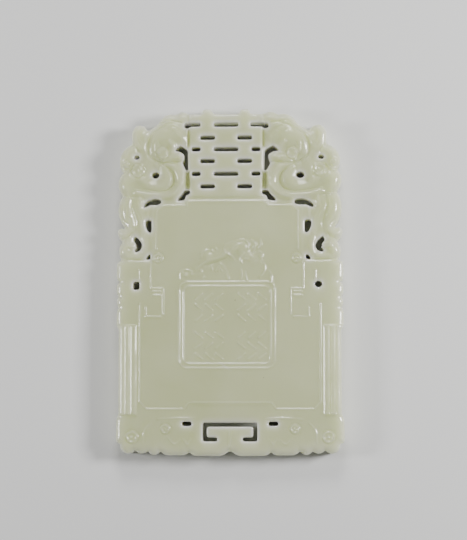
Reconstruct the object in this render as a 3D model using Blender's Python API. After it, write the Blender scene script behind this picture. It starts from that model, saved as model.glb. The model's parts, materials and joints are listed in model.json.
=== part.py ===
"""A carved white jade plaque, worn as a pendant, lying on its back with the carving up.

The pierced crest points to +Y. The origin is under the middle of the plaque, on the plane that it
lies on. Sizes are in millimetres, which MM turns into metres as each shape is made.
A place on the face is (x, y) from the middle. A place on a flank, where the two dragons are, is
(u, y) with u measured outwards from the side of the pierced lattice, so one list serves both sides.
In a path, each corner's third number is how far the stretch to the next corner bows outwards.
"""

import math

import bmesh
import bpy

MM = 0.001

# Driving sizes
HEIGHT = 70.0
WIDTH = 46.0
THICKNESS = 6.5
HALF_WIDTH = WIDTH / 2
HALF_HEIGHT = HEIGHT / 2

# Levels of the carving above the plane that the plaque lies on
FLANK_TOP = 5.0
FIELD_TOP = 5.4
LATTICE_TOP = 5.6
BAND_TOP = 5.75
BRIDGE_TOP = 3.9
BACK_SINK = 0.3

# The lattice: rows of slots laid like bricks
LATTICE_MIDDLE = -0.8
LATTICE_HALF = 7.5
LATTICE_CREST = 34.0
SLOT_ROWS = (31.85, 29.2, 26.85, 24.45, 21.85, 19.3)
SLOT_HEIGHT = 0.95
LONG_SLOT_HALF = 2.55
END_SLOT = (5.1, 7.0)
PAIR_SLOT = (2.2, 5.3)
KNOB_PLACE = 3.8

# Carved by hand, the right dragon is wider than the left one and its mane a little higher
RIGHT_STRETCH = 1.105
MANE_LIFT = 0.85
MANE_LIFT_AT = 18.6
MANE_LIFT_REACH = 5.5

# The panel and its seal
PANEL_MIDDLE = -0.6
PANEL_HALF = 15.3
PANEL_STEP_HALF = 8.6
PANEL_HEAD = 17.0
PANEL_SHOULDER = 16.2
SHOULDER = 4.1
SEAL_HALF = 9.6
SEAL_TOP = -0.1
SEAL_FOOT = -17.4

ARC_STEP = math.radians(30)
CURL_SIDES = 10
LINE_RADIUS = 0.36
LINE_SINK = 0.06

# Flank from the lattice outwards and down: crest, ear, mane, hook, shoulder
FLANK_EDGE = (
    (0.0, 34.0, 0.55), (2.7, 33.95, 0.75), (6.05, 32.4, -0.15), (8.45, 30.6, 0.5),
    (10.55, 31.8, 0.35), (11.6, 29.65, 0), (11.5, 27.95, 1.55), (13.4, 22.1, 0.95),
    (13.4, 17.45, 1.1), (13.1, 11.15, 0), (13.0, 10.7, 0), (13.9, 10.85, 0.2),
    (14.5, 9.95, 0.2), (13.4, 8.05, 0.7), (13.6, 4.4, 0), (14.4, 4.05, 0),
    (14.6, 3.6, 0), (14.6, 0.4, 0), (13.8, 0.0, 0), (14.6, -0.5, 0),
    (14.6, -2.45, 0), (14.1, -3.05, 0.5), (14.1, -5.25, 0), (14.6, -5.65, 0),
    (14.6, -8.8, 0), (14.15, -9.6, 0),
)
# Foot of the plaque from the side to the middle: band, plinth, four scallops, notch
FOOT_EDGE = (
    (22.45, -26.5, -0.1), (22.9, -27.6, 0), (HALF_WIDTH, -32.0, 0), (22.8, -32.4, 0),
    (22.05, -32.5, 0), (22.0, -33.55, 0.85), (19.1, -33.8, 0.6), (16.5, -34.0, 0.78),
    (14.05, -34.0, 0.15), (12.65, -34.85, 0), (9.4, -34.85, 0.15), (8.2, -34.15, 0.2),
    (6.8, -34.95, 0), (2.0, -HALF_HEIGHT, 0), (1.1, -34.7, 0), (0.35, -34.1, 0),
)
# Half of the top edge of the lattice, from its middle outwards, over one knob
KNOB = ((-1.2, LATTICE_CREST), (-0.75, HALF_HEIGHT), (0.75, HALF_HEIGHT), (1.2, LATTICE_CREST))

# Openings pierced through each flank
FLANK_OPENINGS = {
    "mane_eye": ((9.95, 25.3, 0.5), (11.25, 25.2, 0.5)),
    "coil_eye": ((5.95, 21.6, 0.72), (7.6, 21.6, 0.72)),
    "under_coil": (
        (5.75, 16.6, 0.25), (7.9, 16.6, 0.2), (9.1, 15.7, 0.2), (9.0, 14.95, 0),
        (8.3, 15.3, 0), (7.7, 15.6, 0.1), (6.2, 15.6, 0.35),
    ),
    "stem": ((7.55, 12.5, 0), (7.55, 9.9, 0), (8.1, 9.9, 0.2), (8.8, 11.9, 0.1), (8.5, 12.6, 0)),
    "claw": (
        (10.9, 9.3, 0.15), (11.15, 8.1, 0), (10.6, 7.55, 0.25), (10.45, 6.9, 0.1),
        (11.1, 6.4, 0), (10.9, 6.0, 0.75), (9.7, 8.0, 0.1),
    ),
    "shoulder_nick": ((7.75, 5.7, 0), (7.75, 4.5, 0), (8.85, 4.45, 0), (8.3, 5.4, 0)),
    "jaw": (
        (3.0, 26.5, 0.1), (1.75, 27.7, 0), (0.25, 26.7, 0), (0.15, 22.5, 0),
        (0.55, 22.4, 0), (1.4, 24.1, -0.2), (1.0, 25.75, 0), (1.9, 26.4, 0),
    ),
    "under_neck": (
        (-0.25, 18.6, 0), (-0.25, 17.65, 0), (0.6, 17.55, 0), (0.8, 16.5, 0),
        (2.3, 16.35, 0.1), (2.1, 17.1, -0.15), (0.95, 18.6, 0),
    ),
}
CORNER_OPENING = ((-2.4, 32.3), (-2.4, 31.4), (-0.3, 31.4), (0.3, 31.0), (1.15, 31.3), (0.9, 32.3))
LEFT_SHOULDER_SLOT = ((9.95, -0.05, 0), (9.95, -1.55, 0.1), (11.3, -1.55, 0), (11.3, -0.05, 0.1))
RIGHT_SHOULDER_HOLE = ((9.35, -0.5, 0.7), (10.75, -0.5, 0.7))
FOOT_SLOT = ((9.7, -28.1), (9.7, -29.0), (7.7, -29.0), (7.7, -28.1))
CENTRE_SLOT = {"half": 5.5, "top": -28.3, "foot": -32.1, "bar": 0.85, "toe": 3.0}

# Each flank's forms, as the path of a rounded roll: (u, y, half thickness)
DRAGON_ROLLS = {
    "crest": ((0.9, 33.2, 0.55), (3.2, 33.1, 0.6), (5.6, 31.9, 0.55), (7.9, 29.9, 0.5)),
    "brow": (
        (1.6, 32.0, 0.6), (4.4, 32.0, 0.9), (6.9, 30.2, 1.0), (7.8, 27.6, 0.85), (7.2, 25.3, 0.6),
    ),
    "muzzle": ((5.0, 30.0, 1.3), (2.9, 30.3, 1.15), (1.6, 28.9, 0.85), (1.0, 27.5, 0.5)),
    "cheek": ((6.1, 26.6, 0.8), (5.7, 28.2, 0.9), (4.0, 28.3, 0.8), (3.2, 27.2, 0.5)),
    "jaw": ((5.2, 24.7, 0.7), (3.6, 24.8, 0.8), (2.2, 25.4, 0.65), (1.6, 25.9, 0.45)),
    "neck": (
        (4.6, 23.6, 0.7), (2.7, 22.9, 0.95), (1.9, 20.9, 1.05), (2.9, 18.5, 1.1),
        (5.4, 17.6, 1.0), (8.4, 17.8, 0.95), (10.9, 18.8, 0.8),
    ),
    "coil": ((6.9, 23.7, 0.9), (4.7, 22.3, 0.9), (4.6, 20.2, 0.95), (7.0, 19.2, 1.0), (9.6, 20.3, 0.8)),
    "ear": ((10.7, 30.9, 0.6), (11.0, 29.2, 0.75), (10.3, 27.6, 0.75), (9.2, 26.6, 0.6)),
    "upper_lock": ((11.3, 27.4, 0.6), (12.9, 26.2, 0.8), (13.4, 24.4, 0.75), (12.6, 23.0, 0.5)),
    "middle_lock": ((11.6, 22.2, 0.6), (13.3, 21.2, 0.85), (13.5, 19.3, 0.85), (12.4, 17.9, 0.6)),
    "outer_strand": (
        (12.7, 17.2, 0.5), (13.6, 15.6, 0.8), (13.6, 13.6, 0.85), (12.7, 11.7, 0.7),
        (12.6, 10.0, 0.6), (13.3, 9.5, 0.65), (14.0, 9.9, 0.4),
    ),
    "middle_strand": (
        (11.6, 17.4, 0.5), (12.2, 15.4, 0.55), (11.8, 13.2, 0.6), (11.4, 11.0, 0.6), (11.9, 9.0, 0.45),
    ),
    "inner_strand": (
        (10.2, 17.2, 0.6), (10.5, 15.0, 0.75), (9.6, 12.7, 0.75), (9.0, 10.2, 0.65),
        (8.9, 7.7, 0.6), (9.6, 5.8, 0.6), (11.4, 5.2, 0.6), (13.3, 5.8, 0.7),
    ),
    "claw": ((13.6, 7.2, 0.6), (12.3, 7.5, 0.6), (11.2, 7.2, 0.4)),
    "skull": ((6.6, 28.3, 1.2), (5.2, 29.4, 1.5), (3.2, 29.5, 1.3)),
    "breast": ((7.2, 22.3, 1.2), (9.3, 21.6, 1.6), (11.4, 20.6, 1.3)),
}
# Round curls on each flank: (u, y, radius of the ring, half thickness, top)
DRAGON_CURLS = {
    "eye": (5.3, 26.0, 0.95, 0.36, THICKNESS),
    "spiral": (10.35, 22.6, 0.75, 0.34, 6.35),
    "small_curl": (12.8, 24.1, 0.5, 0.28, 5.9),
}
ROLL_SINK = 0.1
ROLL_RISE = 1.6

# The small dragon over the seal, as rolls on the panel: (x, y, half thickness)
SMALL_DRAGON_ROLLS = {
    "body": (
        (-9.8, 1.1, 0.3), (-8.6, 2.0, 0.45), (-6.6, 2.5, 0.5), (-4.9, 3.7, 0.6),
        (-2.6, 4.9, 0.65), (-0.2, 6.0, 0.65), (2.0, 6.8, 0.5),
    ),
    "hind_leg": ((-6.3, 3.6, 0.35), (-5.6, 5.6, 0.45), (-4.0, 6.4, 0.35)),
    "fore_leg": ((-1.2, 5.2, 0.4), (0.2, 4.2, 0.35), (1.3, 4.2, 0.3)),
    "low_leg": ((-3.9, 3.3, 0.4), (-2.2, 2.2, 0.45), (-0.4, 1.0, 0.35), (1.0, 0.9, 0.25)),
    "far_leg": ((1.4, 3.2, 0.35), (2.3, 1.9, 0.4), (3.5, 0.8, 0.3)),
    "head": ((2.2, 6.0, 0.6), (3.6, 5.2, 0.7), (5.0, 4.0, 0.45)),
    "upper_mane": ((2.6, 7.2, 0.35), (4.8, 8.0, 0.4), (6.9, 7.2, 0.25)),
    "lower_mane": ((4.2, 6.4, 0.35), (5.9, 6.0, 0.35), (7.3, 4.6, 0.25)),
    "tail": ((5.9, 4.2, 0.35), (7.2, 3.0, 0.35), (7.4, 1.4, 0.3), (6.2, 0.7, 0.25)),
}
SMALL_DRAGON_CURLS = {"cloud": (-8.8, 1.3, 0.55, 0.25), "paw": (2.9, 0.9, 0.35, 0.2)}

# Raised lines on one side of the panel; x is from the panel's middle, outwards
FRET_LINES = {
    "key": ((15.4, 4.0), (15.4, -1.6), (12.9, -1.6), (12.9, -6.9), (16.6, -6.9), (16.6, -4.3)),
    "outer_key": ((17.9, 3.9), (17.9, -1.0)),
    "border": ((18.0, -3.7), (18.0, -24.2), (16.8, -25.6), (9.2, -25.6), (8.2, -24.3), (0.0, -24.3)),
    "mask_brow": ((15.7, -28.4), (16.9, -29.8), (17.2, -31.6), (17.2, -33.2)),
}
FRET_CURLS = {
    "corner": (13.7, 5.1, 0.75, 0.3),
    "mask_curl": (13.0, -29.6, 0.7, 0.3),
    "foot_curl": (19.6, -31.6, 0.9, 0.34),
}
FLUTES = (20.1, 21.3)
FLUTE_RUN = (-9.2, -26.4)
FLUTE_RADIUS = 0.34

# Strokes of the seal: two columns of two blocks, each of three rows of slanting strokes
SEAL_COLUMNS = (-4.2, 4.4)
SEAL_BLOCKS = (-5.2, -12.9)
SEAL_BLOCK_WIDTH = 6.2
SEAL_BLOCK_HEIGHT = 6.4
STROKE_ROWS = 3
STROKES_IN_ROW = 3
STROKE_SLANT = math.radians(38)

# Channels between the lattice and each dragon: from u to u, from y to y, and their floor
LATTICE_SIDE_CHANNELS = ((-0.12, 0.95, 18.9, 22.2, BRIDGE_TOP), (-0.12, 0.22, 27.3, 30.9, 4.6))
EDGE_SLOPE_WIDTH = 0.9
EDGE_SLOPE_TOP = 7.0
EDGE_SLOPE_STEEPNESS = 2.8
NICK = (14.7, -34.3, 0.55)
JADE_COLOUR = (0.60, 0.64, 0.50, 1.0)


def clear_scene():
    for obj in list(bpy.data.objects):
        bpy.data.objects.remove(obj, do_unlink=True)


def new_collection(name):
    collection = bpy.data.collections.new(name)
    bpy.context.scene.collection.children.link(collection)
    return collection


def bowed(path, closed=False):
    """Turns (x, y, bow) corners into points; a bow becomes an arc.

    An open path bows to the left of its walk, and a closed one away from its middle.
    """
    corners = list(path) + ([path[0]] if closed else [])
    turning = sum(a[0] * b[1] - b[0] * a[1] for a, b in zip(corners, corners[1:]))
    outwards = -1 if closed and turning > 0 else 1
    points = []
    for (x0, y0, bow), (x1, y1, _) in zip(corners, corners[1:]):
        points.append((x0, y0))
        chord = math.hypot(x1 - x0, y1 - y0)
        if abs(bow) < 0.05 * chord:
            continue
        half_angle = 2 * math.atan2(2 * abs(bow), chord)
        radius = chord / (2 * math.sin(half_angle))
        count = max(2, math.ceil(2 * half_angle / ARC_STEP))
        along = ((x1 - x0) / chord, (y1 - y0) / chord)
        for step in range(1, count):
            turn = half_angle * (2 * step / count - 1)
            forward = chord / 2 + radius * math.sin(turn)
            out = outwards * math.copysign(radius * (math.cos(turn) - math.cos(half_angle)), bow)
            x = x0 + along[0] * forward - along[1] * out
            y = y0 + along[1] * forward + along[0] * out
            points.append((x, y))
    if not closed:
        points.append(corners[-1][:2])
    return points


def on_flank(u, y, side):
    """The face place of a flank place; side is -1 on the left and 1 on the right."""
    if side < 0:
        return LATTICE_MIDDLE - LATTICE_HALF - u, y
    return LATTICE_MIDDLE + LATTICE_HALF + u * RIGHT_STRETCH, y


def mane_lift(y):
    return MANE_LIFT * math.exp(-(((y - MANE_LIFT_AT) / MANE_LIFT_REACH) ** 2))


def half_outline(side):
    """The edge of one half, from the middle of the top to the middle of the foot."""
    points = [(LATTICE_MIDDLE + side * (KNOB_PLACE + x), y) for x, y in KNOB]
    for u, y in bowed(FLANK_EDGE):
        x, _ = on_flank(u, y, side)
        points.append((x, y + mane_lift(y) if side > 0 else y))
    points += [(side * x, y) for x, y in bowed(FOOT_EDGE)]
    return points


def outline():
    return half_outline(-1) + half_outline(1)[::-1]


def lattice_slots():
    """Rows of three and of two slots by turns; the top row's end slots belong to the corners."""
    for row, y in enumerate(SLOT_ROWS):
        spans = [(-LONG_SLOT_HALF, LONG_SLOT_HALF)] if row % 2 == 0 else []
        pair = END_SLOT if row % 2 == 0 else PAIR_SLOT
        if row > 0:
            spans += [pair, (-pair[1], -pair[0])]
        for start, end in spans:
            yield rectangle(
                LATTICE_MIDDLE + start, y - SLOT_HEIGHT / 2, LATTICE_MIDDLE + end, y + SLOT_HEIGHT / 2
            )


def rectangle(left, bottom, right, top):
    return [(left, bottom), (right, bottom), (right, top), (left, top)]


def centre_slot():
    """The slot at the foot: a bar with two legs, each with a toe that turns in."""
    half, top, foot = CENTRE_SLOT["half"], CENTRE_SLOT["top"], CENTRE_SLOT["foot"]
    bar, toe = CENTRE_SLOT["bar"], CENTRE_SLOT["toe"]
    right = [
        (half, top), (half, foot), (half - toe, foot), (half - toe, foot + bar),
        (half - bar, foot + bar), (half - bar, top - bar),
    ]
    return right + [(-x, y) for x, y in right[::-1]]


def openings():
    """Every opening pierced through the plaque, as a loop of points."""
    loops = list(lattice_slots()) + [centre_slot()]
    for side in (-1, 1):
        for path in FLANK_OPENINGS.values():
            loops.append([on_flank(u, y, side) for u, y in bowed(path, closed=True)])
        loops.append([on_flank(u, y, side) for u, y in CORNER_OPENING])
        loops.append([(side * x, y) for x, y in FOOT_SLOT])
    loops.append([on_flank(u, y, -1) for u, y in bowed(LEFT_SHOULDER_SLOT, closed=True)])
    loops.append([on_flank(u, y, 1) for u, y in bowed(RIGHT_SHOULDER_HOLE, closed=True)])
    return loops


def mesh_object(name, source, collection):
    """Replaces a curve object by a mesh of the same shape with its caps welded on."""
    bpy.context.scene.collection.objects.link(source)
    bpy.context.view_layer.update()
    evaluated = source.evaluated_get(bpy.context.evaluated_depsgraph_get())
    mesh = bpy.data.meshes.new_from_object(evaluated)
    work = bmesh.new()
    work.from_mesh(mesh)
    bmesh.ops.remove_doubles(work, verts=work.verts, dist=1e-7)
    bmesh.ops.recalc_face_normals(work, faces=work.faces)
    work.to_mesh(mesh)
    work.free()
    place = source.matrix_world.copy()
    bpy.data.objects.remove(source, do_unlink=True)
    obj = bpy.data.objects.new(name, mesh)
    obj.matrix_world = place
    collection.objects.link(obj)
    return obj


def add_spline(curve, points, closed):
    spline = curve.splines.new("POLY")
    spline.points.add(len(points) - 1)
    for target, (x, y, z, radius) in zip(spline.points, points):
        target.co = (x * MM, y * MM, z * MM, 1)
        target.radius = radius
    spline.use_cyclic_u = closed


def prism(name, loops, bottom, top, collection):
    """A flat outline with its openings, raised from one level to another."""
    curve = bpy.data.curves.new(name, "CURVE")
    curve.dimensions = "2D"
    curve.fill_mode = "BOTH"
    curve.extrude = (top - bottom) / 2 * MM
    for loop in loops:
        add_spline(curve, [(x, y, 0, 1) for x, y in loop], True)
    source = bpy.data.objects.new(name, curve)
    source.location.z = (top + bottom) / 2 * MM
    return mesh_object(name, source, collection)


def roll(name, points, level, rise, resolution, collection, closed=False):
    """A rounded roll along (x, y, half thickness) points, half sunk at a level.

    Its height over the level is its half thickness times the rise.
    """
    curve = bpy.data.curves.new(name, "CURVE")
    curve.dimensions = "3D"
    curve.twist_mode = "Z_UP"
    curve.bevel_depth = MM
    curve.bevel_resolution = resolution
    curve.use_fill_caps = True
    add_spline(curve, [(x, y, 0, radius) for x, y, radius in points], closed)
    obj = mesh_object(name, bpy.data.objects.new(name, curve), collection)
    for vertex in obj.data.vertices:
        vertex.co.z *= rise
    obj.location.z = level * MM
    return obj


def smooth(points, count):
    """Points on a smooth curve through the given ones, count to each stretch."""
    padded = [points[0]] + list(points) + [points[-1]]
    result = []
    for a, b, c, d in zip(padded, padded[1:], padded[2:], padded[3:]):
        for step in range(count):
            t = step / count
            result.append(tuple(
                0.5 * (2 * q + (r - p) * t + (2 * p - 5 * q + 4 * r - s) * t ** 2
                       + (3 * q - p - 3 * r + s) * t ** 3)
                for p, q, r, s in zip(a, b, c, d)
            ))
    return result + [tuple(points[-1])]


def dragon(side, collection):
    """The forms of the large dragon on one flank."""
    label = "left" if side < 0 else "right"
    for name, path in DRAGON_ROLLS.items():
        points = [(*on_flank(u, y, side), radius) for u, y, radius in smooth(path, 3)]
        widest = max(radius for _, _, radius in points)
        rise = min(ROLL_RISE, (THICKNESS - FLANK_TOP + ROLL_SINK) / widest)
        roll(f"{label}_{name}", points, FLANK_TOP - ROLL_SINK, rise, 1, collection)
    for name, (u, y, ring, radius, top) in DRAGON_CURLS.items():
        x, y = on_flank(u, y, side)
        curl(f"{label}_{name}", x, y, FLANK_TOP - ROLL_SINK, top, ring, radius, collection)


def curl(name, x, y, level, top, ring, radius, collection):
    """A round curl, from a level to its top: a ring with a bead in it."""
    angles = [2 * math.pi * step / CURL_SIDES for step in range(CURL_SIDES)]
    points = [(x + ring * math.cos(a), y + ring * math.sin(a), radius) for a in angles]
    rise = (top - level) / radius
    roll(name, points, level, rise, 0, collection, closed=True)
    work = bmesh.new()
    bmesh.ops.create_uvsphere(work, u_segments=6, v_segments=4, radius=0.9 * radius * MM)
    bmesh.ops.scale(work, verts=work.verts, vec=(1, 1, rise))
    mesh = bpy.data.meshes.new(name + "_bead")
    work.to_mesh(mesh)
    work.free()
    bead = bpy.data.objects.new(name + "_bead", mesh)
    bead.location = (x * MM, y * MM, level * MM)
    collection.objects.link(bead)


def small_dragon(collection):
    """The low relief over the seal."""
    level = FIELD_TOP - LINE_SINK
    for name, path in SMALL_DRAGON_ROLLS.items():
        roll("small_" + name, smooth(path, 2), level, 1.1, 1, collection)
    for name, (x, y, ring, radius) in SMALL_DRAGON_CURLS.items():
        curl("small_" + name, x, y, level, FIELD_TOP + LINE_RADIUS, ring, radius, collection)


def line(name, points, collection, closed=False):
    """A low raised line on the panel."""
    run = [(x, y, LINE_RADIUS) for x, y in points]
    roll(name, run, FIELD_TOP - LINE_SINK, 1, 0, collection, closed)


def rounded(left, bottom, right, top, corner):
    """A rectangle whose corners are arcs, walked so that they bow outwards."""
    bow = corner * (1 - math.sqrt(0.5))
    path = (
        (left + corner, bottom, 0), (right - corner, bottom, bow), (right, bottom + corner, 0),
        (right, top - corner, bow), (right - corner, top, 0), (left + corner, top, bow),
        (left, top - corner, 0), (left, bottom + corner, bow),
    )
    return bowed(path, closed=True)


def panel_lines(collection):
    """The stepped border, the corner keys, the long frame and the foot's mask, on both sides."""
    head = (
        (PANEL_STEP_HALF - 0.5, PANEL_HEAD - 0.5), (PANEL_STEP_HALF - 0.5, PANEL_SHOULDER - 0.7),
        (PANEL_HALF - 1.6, PANEL_SHOULDER - 0.7), (PANEL_HALF - 0.8, PANEL_SHOULDER - 1.6),
        (PANEL_HALF - 0.8, 6.2),
    )
    full = [(PANEL_MIDDLE - x, y) for x, y in head[::-1]] + [(PANEL_MIDDLE + x, y) for x, y in head]
    line("panel_head", full, collection)
    for side in (-1, 1):
        for name, path in FRET_LINES.items():
            middle = PANEL_MIDDLE if path[0][1] > -2 else 0
            points = [(middle + side * x, y) for x, y in path]
            if name != "border":
                line(f"{name}_{side}", points, collection)
        for name, (x, y, ring, radius) in FRET_CURLS.items():
            middle = PANEL_MIDDLE if y > 0 else 0
            level, top = FIELD_TOP - LINE_SINK, FIELD_TOP + LINE_RADIUS
            curl(f"{name}_{side}", middle + side * x, y, level, top, ring, radius, collection)
    half = FRET_LINES["border"]
    full = [(-x, y) for x, y in half] + [(x, y) for x, y in half[-2::-1]]
    line("long_border", full, collection)


def seal(collection):
    """A double frame around rows of short strokes that are no letters."""
    for name, inset, corner in (("outer", 0.0, 1.6), ("inner", 0.95, 1.1)):
        loop = rounded(
            PANEL_MIDDLE - SEAL_HALF + inset, SEAL_FOOT + inset,
            PANEL_MIDDLE + SEAL_HALF - inset, SEAL_TOP - inset, corner,
        )
        line("seal_" + name, loop, collection, closed=True)
    for column, x in enumerate(SEAL_COLUMNS):
        for block, y in enumerate(SEAL_BLOCKS):
            seal_block(f"stroke_{column}{block}", x, y, column + block, collection)


def seal_block(name, x, y, seed, collection):
    """Rows of short strokes that lean one way and the other by turns."""
    pitch_x = SEAL_BLOCK_WIDTH / STROKES_IN_ROW
    pitch_y = SEAL_BLOCK_HEIGHT / STROKE_ROWS
    for row in range(STROKE_ROWS):
        for place in range(STROKES_IN_ROW):
            slant = STROKE_SLANT * (-1) ** (row + seed)
            middle_x = x + pitch_x * (place - (STROKES_IN_ROW - 1) / 2)
            middle_y = y + pitch_y * (row - (STROKE_ROWS - 1) / 2)
            dx, dy = 0.42 * pitch_x * math.cos(slant), 0.42 * pitch_x * math.sin(slant)
            ends = [(middle_x - dx, middle_y - dy), (middle_x + dx, middle_y + dy)]
            line(f"{name}_{row}{place}", ends, collection)


def plates(collection):
    """The broad levels of the front; each runs out past the edge, which is cut afterwards."""
    out_x, out_y = HALF_WIDTH + 2, HALF_HEIGHT + 2
    left, right = PANEL_MIDDLE - PANEL_HALF, PANEL_MIDDLE + PANEL_HALF
    step_left, step_right = PANEL_MIDDLE - PANEL_STEP_HALF, PANEL_MIDDLE + PANEL_STEP_HALF
    panel = [
        (-out_x, -out_y), (out_x, -out_y), (out_x, SHOULDER), (right, SHOULDER),
        (right, PANEL_SHOULDER), (step_right, PANEL_SHOULDER), (step_right, PANEL_HEAD),
        (step_left, PANEL_HEAD), (step_left, PANEL_SHOULDER), (left, PANEL_SHOULDER),
        (left, SHOULDER), (-out_x, SHOULDER),
    ]
    prism("panel_plate", [panel], 1.0, FIELD_TOP, collection)
    lattice = rectangle(
        LATTICE_MIDDLE - LATTICE_HALF, PANEL_HEAD + 0.15, LATTICE_MIDDLE + LATTICE_HALF, out_y
    )
    prism("lattice_plate", [lattice], 1.1, LATTICE_TOP, collection)
    for side in (-1, 1):
        near, far = sorted((side * 18.9, side * out_x))
        band = rectangle(near, FLUTE_RUN[1] - 0.4, far, FLUTE_RUN[0] + 0.4)
        prism(f"band_plate_{side}", [band], 1.2, BAND_TOP, collection)


def grooves(collection):
    """What is cut into the front and the back after the edge is true."""
    for side in (-1, 1):
        for x in FLUTES:
            run = [(side * x, y, FLUTE_RADIUS) for y in FLUTE_RUN]
            roll(f"flute_{side}_{x}", run, BAND_TOP + LINE_SINK, 1, 0, collection)
    middle = [(0, -29.9, 0.3), (0, -33.2, 0.3)]
    roll("middle_line", middle, FIELD_TOP + LINE_SINK, 1, 0, collection)
    slope = [(x, y, EDGE_SLOPE_WIDTH) for x, y in outline()]
    roll("edge_slope", slope, EDGE_SLOPE_TOP, EDGE_SLOPE_STEEPNESS, 0, collection, closed=True)
    for side in (-1, 1):
        for number, (near, far, low, high, floor) in enumerate(LATTICE_SIDE_CHANNELS):
            corners = rectangle(near, low, far, high)
            channel = [on_flank(u, y, side) for u, y in corners]
            prism(f"channel_{side}_{number}", [channel], floor, THICKNESS + 1.5, collection)
    recess = rounded(PANEL_MIDDLE - 13.2, -23.0, PANEL_MIDDLE + 13.2, 13.0, 2.5)
    prism("back_panel", [recess], -1.0, BACK_SINK, collection)
    x, y, radius = NICK
    chip = bmesh.new()
    bmesh.ops.create_icosphere(chip, subdivisions=1, radius=radius * MM)
    mesh = bpy.data.meshes.new("edge_nick")
    chip.to_mesh(mesh)
    chip.free()
    nick = bpy.data.objects.new("edge_nick", mesh)
    nick.location = (x * MM, y * MM, FIELD_TOP * MM)
    collection.objects.link(nick)


def combine(obj, name, operation, operand):
    modifier = obj.modifiers.new(name, "BOOLEAN")
    modifier.operation = operation
    modifier.solver = "EXACT"
    modifier.use_self = True
    if isinstance(operand, bpy.types.Collection):
        modifier.operand_type = "COLLECTION"
        modifier.collection = operand
        for helper in operand.objects:
            as_helper(helper)
    else:
        modifier.object = operand
        as_helper(operand)


def as_helper(obj):
    obj.hide_render = True
    obj.display_type = "WIRE"


def jade():
    material = bpy.data.materials.new("white_jade")
    material.use_nodes = True
    shader = material.node_tree.nodes["Principled BSDF"]
    shader.inputs["Base Color"].default_value = JADE_COLOUR
    shader.inputs["Roughness"].default_value = 0.22
    shader.inputs["Metallic"].default_value = 0.0
    material.diffuse_color = JADE_COLOUR
    return material


def main():
    clear_scene()
    piece = new_collection("jade_pendant")
    levels = new_collection("raised_forms")
    cutters = new_collection("cutters")
    stock = rectangle(-HALF_WIDTH - 1, -HALF_HEIGHT - 1, HALF_WIDTH + 1, HALF_HEIGHT + 1)
    plaque = prism("carved_jade_plaque", [stock], 0, FLANK_TOP, piece)
    plates(levels)
    for side in (-1, 1):
        dragon(side, levels)
    small_dragon(levels)
    panel_lines(levels)
    seal(levels)
    edge = prism("edge", [outline()], -2, THICKNESS + 2, cutters)
    carving = new_collection("carved_away")
    grooves(carving)
    for number, loop in enumerate(openings()):
        prism(f"opening_{number}", [loop], -1, THICKNESS + 1, carving)
    combine(plaque, "raised_forms", "UNION", levels)
    combine(plaque, "edge", "INTERSECT", edge)
    combine(plaque, "carved_away", "DIFFERENCE", carving)
    plaque.data.materials.append(jade())


main()
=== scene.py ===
"""The looks of a carved white jade pendant that lies on its back on a pale floor.

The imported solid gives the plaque's place and size. This script carves the same plaque again in fine
relief: a height field over its face is cut and raised stroke by stroke, as a carver would do it,
and one closed mesh is drawn over the field, down the walls of the edge and the openings, and over
the plain back. Sizes are in millimetres; MM turns them into metres as the mesh is made.

A place on the face is (x, y) from the middle. A place on a flank, where the large dragons are, is
(u, y) with u measured outwards from the lattice, so that one list serves both sides. The third
number of a place is a half width or, in an outline, how far the stretch that follows bows out.
"""

import json
import logging
import math
from collections.abc import Iterator, Sequence
from dataclasses import dataclass
from enum import Enum

import bpy
import numpy as np
from mathutils import Matrix, Vector
from mathutils.geometry import delaunay_2d_cdt

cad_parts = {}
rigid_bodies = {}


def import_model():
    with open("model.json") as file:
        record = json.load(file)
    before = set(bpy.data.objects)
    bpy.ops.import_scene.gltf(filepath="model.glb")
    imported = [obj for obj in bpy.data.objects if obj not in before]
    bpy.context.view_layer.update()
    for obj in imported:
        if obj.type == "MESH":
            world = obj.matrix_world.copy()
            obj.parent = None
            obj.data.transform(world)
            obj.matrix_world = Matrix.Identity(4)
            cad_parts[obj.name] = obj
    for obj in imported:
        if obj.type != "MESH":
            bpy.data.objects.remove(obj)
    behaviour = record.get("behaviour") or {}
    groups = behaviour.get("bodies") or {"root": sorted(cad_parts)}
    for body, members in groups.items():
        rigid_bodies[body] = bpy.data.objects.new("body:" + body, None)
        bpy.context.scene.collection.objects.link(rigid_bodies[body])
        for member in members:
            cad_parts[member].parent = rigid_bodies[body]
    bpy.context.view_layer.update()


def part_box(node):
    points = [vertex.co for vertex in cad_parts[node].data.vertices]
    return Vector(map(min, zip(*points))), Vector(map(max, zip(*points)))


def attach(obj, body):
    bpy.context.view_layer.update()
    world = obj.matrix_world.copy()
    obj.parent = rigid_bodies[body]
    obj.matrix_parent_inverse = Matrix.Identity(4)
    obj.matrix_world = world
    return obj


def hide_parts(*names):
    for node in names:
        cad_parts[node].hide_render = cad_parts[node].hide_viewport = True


log = logging.getLogger("jade_pendant")

MM = 0.001
NODE = "carved_jade_plaque"
BODY = "root"

Point = tuple[float, float]
Place = tuple[float, float, float]
Path = Sequence[Place]


class Side(Enum):
    """The two halves of the plaque, by the sign of x."""

    LEFT = -1
    RIGHT = 1


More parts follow.
